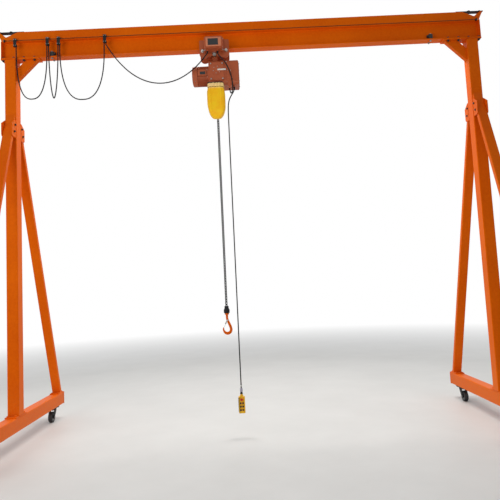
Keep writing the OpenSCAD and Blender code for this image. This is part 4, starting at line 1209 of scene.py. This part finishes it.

# %% [markdown]
# The hoist gets what its castings lack: cover screws, a fan grille on the motor, the lid of its
# terminals, a rim on the trolley motor's panel in a paler copy of the hoist paint, which is a
# painted highlight, and the plates. The plates are plain: only their colours and places follow
# the real machine.

# %% Hoist details
MOTOR_Z, GEAR_X0, GEAR_X1 = 3.817, -0.36892, -0.19292
GEAR_MID = (GEAR_X0 + GEAR_X1) / 2
MOTOR_END = GEAR_X0 - 0.178
FAN_R = 0.082
OUT_LEFT = (-1, 0, 0)


def screws(bm, places, direction, size):
    for i, place in enumerate(places):
        fasten(bm, SCREW, place, direction, size, i * 0.7)


def on_motor(x, radius, angle):
    """A point round the motor's axis."""
    return (x, radius * math.cos(angle), MOTOR_Z + radius * math.sin(angle))


bm = bmesh.new()
for front in (-1, 1):
    for sx in (-1, 1):
        for sz in (-1, 1):
            fasten(bm, SCREW, (GEAR_MID + sx * 0.062, front * 0.122, 3.823 + sz * 0.084),
                   (0, front, 0), 0.009, sx + sz)
    for k in range(6):
        a = k * math.pi / 3 + 0.3
        place = (GEAR_MID + 0.038 * math.cos(a), front * 0.123, 3.839 + 0.038 * math.sin(a))
        fasten(bm, SCREW, place, (0, front, 0), 0.0045, a)
    for z in (3.930, 3.704):
        fasten(bm, HEAD, (GEAR_X1 + 0.020, front * 0.110, z), (0, front, 0), 0.005, 0.4)
for k in range(8):
    a = k * math.pi / 4 + math.pi / 8
    fasten(bm, HEAD, on_motor(GEAR_X0 - 0.014, 0.099, a), OUT_LEFT, 0.007, a)
for k in range(4):
    a = k * math.pi / 2 + math.pi / 4
    outward = (0, math.cos(a), math.sin(a))
    fasten(bm, SCREW, on_motor(MOTOR_END + 0.030, 0.107, a), outward, 0.005, 0.0)
for y in (-0.084, 0.084):
    for z in (3.722, 3.912):
        fasten(bm, SCREW, (GEAR_X1 + 0.147, y, z), (1, 0, 0), 0.008, y * 9)
screws(bm, [(x, -0.116, z) for x in (-0.168, -0.134) for z in (3.650, 3.828)], TO_FRONT, 0.0045)
screws(bm, [(x, -0.136, z) for x in (-0.395, -0.205) for z in (4.052, 4.172)], TO_FRONT, 0.0085)
for side in (-1, 1):
    for x in (-0.385, -0.215):
        fasten(bm, HEAD, (x, side * 0.073, 4.1523), (0, side, 0), 0.013, 0.3)
piece("hoist_screws", bm, ZINC, "trolley", 30)

WIRE_R = 0.0014

bm = bmesh.new()
for ring in range(1, 6):
    radius = FAN_R * ring / 5
    circle = [on_motor(MOTOR_END - 0.002, radius, math.tau * k / 48) for k in range(49)]
    swept(bm, circle, WIRE_R, 6)
for k in range(12):
    a = math.tau * k / 12
    swept(bm, [on_motor(MOTOR_END - 0.0015, r, a) for r in (0.006, 0.045, FAN_R)], WIRE_R, 6)
turned(bm, [(0.0001, 0.0045), (0.009, 0.0045), (0.012, 0.002), (0.012, 0.0), (0.0001, 0.0)],
       at(MOTOR_END, 0, MOTOR_Z) @ facing(OUT_LEFT), 24)
piece("fan_grille", bm, HOIST_PAINT, "trolley", 50)

# A black disc just under the grille, at the fan's opening: painted shade for the inside of the
# cowl.
bm = bmesh.new()
bmesh.ops.create_circle(bm, cap_ends=True, segments=64, radius=FAN_R,
                        matrix=at(MOTOR_END - 0.0002, 0, MOTOR_Z) @ facing(OUT_LEFT))
moved = bmesh.ops.extrude_face_region(bm, geom=bm.faces[:])["geom"]
bmesh.ops.translate(bm, verts=verts_in(moved), vec=(-0.0005, 0, 0))
piece("fan_opening_painted_shade", bm, BLACK_PLASTIC, "trolley", 40)


def plates(name, finish, slot, *blocks):
    """One piece on the trolley, made of blocks: two corners, a bevel and its steps."""
    bm = bmesh.new()
    for one in blocks:
        block(bm, *one)
    piece(name, bm, finish, "trolley", 40)


# The rim's paler paint is a painted highlight.
plates("motor_panel_rim_painted_highlight", HOIST_PAINT_PAINTED_HIGHLIGHT, None,
       ((-0.3800, -0.2052, 4.063), (-0.2200, -0.2028, 4.161), 0.0009, 1))
plates("terminal_box_lid", HOIST_PAINT, "hoist_paint",
       ((-0.483, -0.1170, 3.787), (-0.395, -0.1125, 3.847), 0.002))
plates("blank_dark_plates", BLACK_PLASTIC, None,
       ((-0.463, -0.1186, 3.796), (-0.405, -0.1168, 3.828), 0.001),
       ((-0.3600, -0.2062, 4.076), (-0.2500, -0.2035, 4.148), 0.0012))
plates("blank_white_plate", WHITE_PLATE, None,
       ((-0.272, -0.1246, 3.832), (-0.184, -0.1176, 3.848), 0.0008))

# %% [markdown]
# The end of each tie bar and of the load bar carries a nut on a turned-down thread, and the
# bar keeps its zinc. The photographed trolley shows them as the brightest points on it.

# %% Trolley bars' nuts
bm = bmesh.new()
for side in (-1, 1):
    for x in (-0.427, -0.173):
        fasten(bm, NUT, (x, side * 0.0705, 4.074), (0, side, 0), 0.018, x)
    fasten(bm, NUT, (-0.300, side * 0.0705, 4.038), (0, side, 0), 0.024, 0.2)
piece("trolley_bar_nuts", bm, ZINC, "trolley", 30)

# %% [markdown]
# Ribbed strain reliefs taper over the cables where they leave a housing. Each is a profile spun
# round the cable, because its ribs then come from a short list of radii and heights.

# %% Strain reliefs
BORE_R, TAPER_TOP_R, TAPER_END_R, TAPER_RIBS = 0.0062, 0.0115, 0.0072, 5


def taper(bm, top, down=0.030):
    """A ribbed rubber cone that runs down a cable from a gland."""
    profile = [(BORE_R, 0.0), (TAPER_TOP_R, 0.0)]
    for k in range(TAPER_RIBS):
        z = -down * (k + 0.5) / TAPER_RIBS
        r = TAPER_TOP_R + (TAPER_END_R - TAPER_TOP_R) * (k + 0.5) / TAPER_RIBS
        profile += [(r, z + 0.0012), (r - 0.0011, z), (r - 0.0011, z - 0.0012)]
    profile += [(TAPER_END_R, -down), (BORE_R, -down)]
    turned(bm, profile, Matrix.Translation(top), 24)


bm = bmesh.new()
taper(bm, (-0.103, -0.060, 3.663))
taper(bm, (-0.153, -0.050, 3.663), 0.020)
taper(bm, (-0.370, -0.144, 4.033), 0.016)
taper(bm, (-0.262, -0.144, 4.033), 0.020)
turned(bm, [(BORE_R, 0), (0.0155, 0), (0.0155, 0.004), (0.0130, 0.007), (0.0115, 0.016),
            (0.0105, 0.018), (0.0090, 0.034), (TAPER_END_R, 0.040), (BORE_R, 0.040)],
       at(-0.180, -0.060, 0.4299), 32)
piece("strain_reliefs", bm, CABLE, "trolley", 40)

# %% [markdown]
# Two black cable ties hold the motor's cable to the plate in front of the control box. Each is
# a round bar, swept round the cable and back to the plate and then stretched into a flat strap,
# with a small square lock.

# %% Cable ties
TIED_Y, TIE_REACH, STRAP_R = -0.148, 0.028, 0.0078


def tie(bm, x, z, slope):
    """A strap round the cable at x, z that reaches back to the plate, tilted with the cable."""
    band = bmesh.new()
    line = []
    for k in range(25):
        angle = math.tau * k / 24
        back = TIE_REACH if math.sin(angle) > 0 else 0.0
        line.append((STRAP_R * math.cos(angle), STRAP_R * math.sin(angle) + back, 0))
    swept(band, line, 0.0011, 6)
    bmesh.ops.scale(band, verts=band.verts, vec=(1, 1, 2.0))
    block(band, (0.0050, -0.0040, -0.0030), (0.0115, 0.0020, 0.0030), 0.0006, 1)
    band.transform(at(x, TIED_Y, z) @ Matrix.Rotation(slope, 4, "Y"))
    join(bm, band)


bm = bmesh.new()
tie(bm, -0.1395, 3.792, 0.20)
tie(bm, -0.1245, 3.724, 0.16)
piece("cable_ties", bm, BLACK_PLASTIC, "trolley", 50)

# %% [markdown]
# The handset hangs at waist height. Its body is moulded plastic; the buttons stand in raised
# seats, two and two, under a red stop button. A button is a profile spun round its own axis: a
# collar, a gap and a domed cap. The left flank is black, and on the cable above it sit a pale
# gland nut and a white tie whose tails stand up, as in the photograph.

# %% Handset
FACE_Y, GLAND_Z, TIE_Z = -0.027, 0.212, 0.268


def on_handset(x, y, z):
    """A point of the handset, from its foot's middle."""
    return Vector((x - 0.180, y - 0.060, z + 0.240))


def button(bm, x, z, profile, segments):
    place = Matrix.Translation(on_handset(x, FACE_Y, z)) @ facing(TO_FRONT)
    turned(bm, profile, place, segments)


bm = bmesh.new()
for x in (-0.012, 0.012):
    for k in range(3):
        button(bm, x, 0.034 + 0.034 * k,
               [(0.00928, 0.0), (0.00928, 0.0016), (0.00832, 0.0026), (0.00832, 0.0004),
                (0.0080, 0.0004), (0.0080, 0.0036), (0.0072, 0.00465), (0.0048, 0.0050),
                (0.0001, 0.0051)], 28)
piece("handset_buttons", bm, BLACK_PLASTIC, "trolley", 40)

bm = bmesh.new()
button(bm, 0.0, 0.138, [(0.0085, 0.0), (0.0085, 0.003), (0.0120, 0.0042), (0.0130, 0.0062),
                        (0.0122, 0.0085), (0.0080, 0.0100), (0.0001, 0.0104)], 32)
piece("handset_stop_button", bm, RED_PLASTIC, "trolley", 40)

plates("handset_black_flank", BLACK_PLASTIC, None,
       (on_handset(-0.0345, -0.014, 0.014), on_handset(-0.0322, 0.022, 0.150), 0.001),
       (on_handset(-0.0290, -0.0265, 0.010), on_handset(-0.0215, -0.008, 0.154), 0.0012))

bm = bmesh.new()
turned(bm, [(0.0075, 0.0), (0.0120, 0.0), (0.0145, 0.003), (0.0145, 0.013), (0.0128, 0.014),
            (0.0128, 0.017), (0.0142, 0.018), (0.0142, 0.030), (0.0115, 0.034), (0.0075, 0.034)],
       at(*on_handset(0, 0, GLAND_Z)), 32)
piece("handset_gland", bm, PALE_PLASTIC, "trolley", 35)

bm = bmesh.new()
turned(bm, [(BORE_R, 0.0), (STRAP_R, 0.0), (STRAP_R, 0.0048), (BORE_R, 0.0048)],
       at(*on_handset(0, 0, TIE_Z)), 28)
block(bm, on_handset(-0.0045, -0.0125, TIE_Z - 0.0006),
      on_handset(0.0045, -0.0065, TIE_Z + 0.0054), 0.0008, 1)
for out, high in ((-0.016, 0.036), (0.013, 0.030)):
    tail = bmesh.new()
    line = [(out * t ** 0.7, -0.004 * math.sin(3.0 * t), high * t)
            for t in (0.0, 0.15, 0.3, 0.45, 0.6, 0.8, 1.0)]
    swept(tail, line, 0.0009, 6)
    bmesh.ops.scale(tail, verts=tail.verts, vec=(1, 2.4, 1))
    tail.transform(at(*on_handset(0, -0.0105, TIE_Z + 0.003)))
    join(bm, tail)
piece("handset_cable_tie", bm, WHITE_PLATE, "trolley", 50)

bm = bmesh.new()
for x in (-0.022, 0.022):
    for z in (0.018, 0.146):
        fasten(bm, SCREW, on_handset(x, 0.027, z), TO_BACK, 0.0035, x * 40)
piece("handset_screws", bm, ZINC, "trolley", 30)

# %% [markdown]
# Casters turn and roll, so their small parts ride on the bodies that move: the axle's nuts and
# the swivel's nut on the fork, the rims on the wheel.

# %% Caster details
WHEEL_HALF, TRAIL, AXLE_Z, AXLE_NUT_X = 0.0225, 0.038, 0.0625, 0.0335
RIM_PROFILE = [(0.0215, 0.0080), (0.0225, 0.0040), (0.0330, 0.0075),
               (0.0440, 0.0075), (0.0462, 0.0030), (0.0480, 0.0012)]

for side_name, side in (("left", -1), ("right", 1)):
    for end_name, end in (("front", -1), ("back", 1)):
        where = f"{side_name}_{end_name}"
        x, y = side * COLUMN_X, end * CASTER_Y
        axle_y = end * (CASTER_Y - TRAIL)
        bm = bmesh.new()
        for face in (-1, 1):
            fasten(bm, NUT, (x + face * AXLE_NUT_X, axle_y, AXLE_Z), (face, 0, 0), 0.0095, 0.2)
        fasten(bm, NUT, (x, y, 0.1439), DOWN, 0.012, 0.1)
        piece(f"fork_nuts_{where}", bm, ZINC, f"caster_{where}", 30)

        bm = bmesh.new()
        for face in (-1, 1):
            turned(bm, [(radius, face * (WHEEL_HALF - inset)) for radius, inset in RIM_PROFILE],
                   at(x, axle_y, AXLE_Z) @ facing((1, 0, 0)), 40)
        piece(f"wheel_rims_{where}", bm, RIM, f"caster_wheel_{where}", 40)

# %% [markdown]
# The travel stops and the festoon's hangers keep their CAD shapes and get their screws: two
# bolts through each stop and the flange, four screws in each hanger, and a nut at each end of
# the hangers' wire.

# %% Small hardware on the beam
STOP_X, STOP_BOLT_Y, STOP_CLAMP_TOP = 2.065, 0.030, 4.162
WIRE_END_X = 2.574
# For each pair of screws in a hanger: half their distance, how far they stand in front of the
# wire, their height and their size.
HANGER_SCREWS = ((0.0095, 0.010, 4.3028, 0.005), (0.011, 0.011, 4.236, 0.0045))

bm = bmesh.new()
for side in (-1, 1):
    for front in (-1, 1):
        x, y = side * STOP_X, front * STOP_BOLT_Y
        fasten(bm, HEAD, (x, y, STOP_CLAMP_TOP), UP, BOLT_M12, 0.5)
        fasten(bm, NUT, (x, y, BEAM_LOW), DOWN, BOLT_M12, 0.5)
for x in HANGER_X:
    for apart, out, z, size in HANGER_SCREWS:
        for e in (-apart, apart):
            fasten(bm, SCREW, (x + e, WIRE_Y - out, z), TO_FRONT, size, x)
for side in (-1, 1):
    fasten(bm, NUT, (side * WIRE_END_X, WIRE_Y, WIRE_Z), (side, 0, 0), 0.006, 0.2)
piece("beam_hardware", bm, ZINC, "gantry", 30)

# %% [markdown]
# The crane stands on a plain pale floor. The world is soft grey light; where the camera looks
# past the crane it sees white, through the Light Path node, and so do reflections. A large
# lamp behind and above the beam brightens the faces that look into the span, one at the front
# left keeps the near faces readable, and a small weak one lifts the hoist and its bag.

# %% Floor, world and lamps
FLOOR_HALF = 14.0
LAMP_COLOUR = (1.0, 0.97, 0.93)


def pale_floor():
    n = Nodes("pale_floor")
    n.link(n.ramp(n.noise(1.2, 4.0, 0.6), [(0.3, srgb(214, 214, 212)), (0.7, srgb(221, 221, 219))]),
           n.shader.inputs["Base Color"])
    n.set(Roughness=0.55)
    path = n.add("ShaderNodeLightPath")
    glow = n.add("ShaderNodeEmission")
    glow.inputs["Color"].default_value = (1, 1, 1, 1)
    glow.inputs["Strength"].default_value = 1.0
    away = n.add("ShaderNodeVectorMath", operation="LENGTH")
    n.link(n.place, away.inputs[0])
    far = n.spread(away.outputs["Value"], 0.0, 1.0, 5.5, 13.0)
    mixed = n.add("ShaderNodeMixShader")
    n.link(n.product(path.outputs["Is Camera Ray"], far), mixed.inputs[0])
    n.link(n.shader.outputs[0], mixed.inputs[1])
    n.link(glow.outputs[0], mixed.inputs[2])
    n.link(mixed.outputs[0], n.tree.nodes["Material Output"].inputs["Surface"])
    return n.material


bm = bmesh.new()
bmesh.ops.create_grid(bm, x_segments=1, y_segments=1, size=FLOOR_HALF)
floor = bpy.data.objects.new("floor", to_mesh(bm, "floor"))
floor.data.materials.append(pale_floor())
SCENE.collection.objects.link(floor)


def white_world(strength):
    world = bpy.data.worlds.new("studio")
    world.use_nodes = True
    nodes, link = world.node_tree.nodes, world.node_tree.links.new
    light = nodes["Background"]
    light.inputs["Color"].default_value = (0.92, 0.96, 1.0, 1.0)
    light.inputs["Strength"].default_value = strength
    white = nodes.new("ShaderNodeBackground")
    white.inputs["Color"].default_value = (1, 1, 1, 1)
    white.inputs["Strength"].default_value = 1.0
    path = nodes.new("ShaderNodeLightPath")
    shown = path.outputs["Is Camera Ray"]
    for ray in ("Is Glossy Ray", "Is Transmission Ray"):
        either = nodes.new("ShaderNodeMath")
        either.operation = "MAXIMUM"
        link(shown, either.inputs[0])
        link(path.outputs[ray], either.inputs[1])
        shown = either.outputs[0]
    mixed = nodes.new("ShaderNodeMixShader")
    link(shown, mixed.inputs[0])
    link(light.outputs[0], mixed.inputs[1])
    link(white.outputs[0], mixed.inputs[2])
    link(mixed.outputs[0], nodes["World Output"].inputs["Surface"])
    SCENE.world = world


def soft_lamp(name, place, aim, size, power):
    data = bpy.data.lights.new(name, "AREA")
    data.shape = "RECTANGLE"
    data.size, data.size_y = size
    data.energy = power
    data.color = LAMP_COLOUR
    lamp = bpy.data.objects.new(name, data)
    lamp.location = place
    lamp.rotation_euler = (Vector(aim) - Vector(place)).to_track_quat("-Z", "Y").to_euler()
    SCENE.collection.objects.link(lamp)


white_world(0.36)
soft_lamp("above_and_behind", (0.0, 1.6, 7.4), (0.0, 0.0, 1.5), (6.0, 2.4), 420)
soft_lamp("front_left", (-4.6, -4.6, 3.0), (-0.8, 0.0, 2.4), (3.0, 3.0), 88)
soft_lamp("hoist_fill", (0.1, -1.9, 2.8), (-0.3, -0.1, 3.55), (0.9, 0.9), 9)
SCENE.view_settings.view_transform = "Standard"
print("lamps and floor ready")
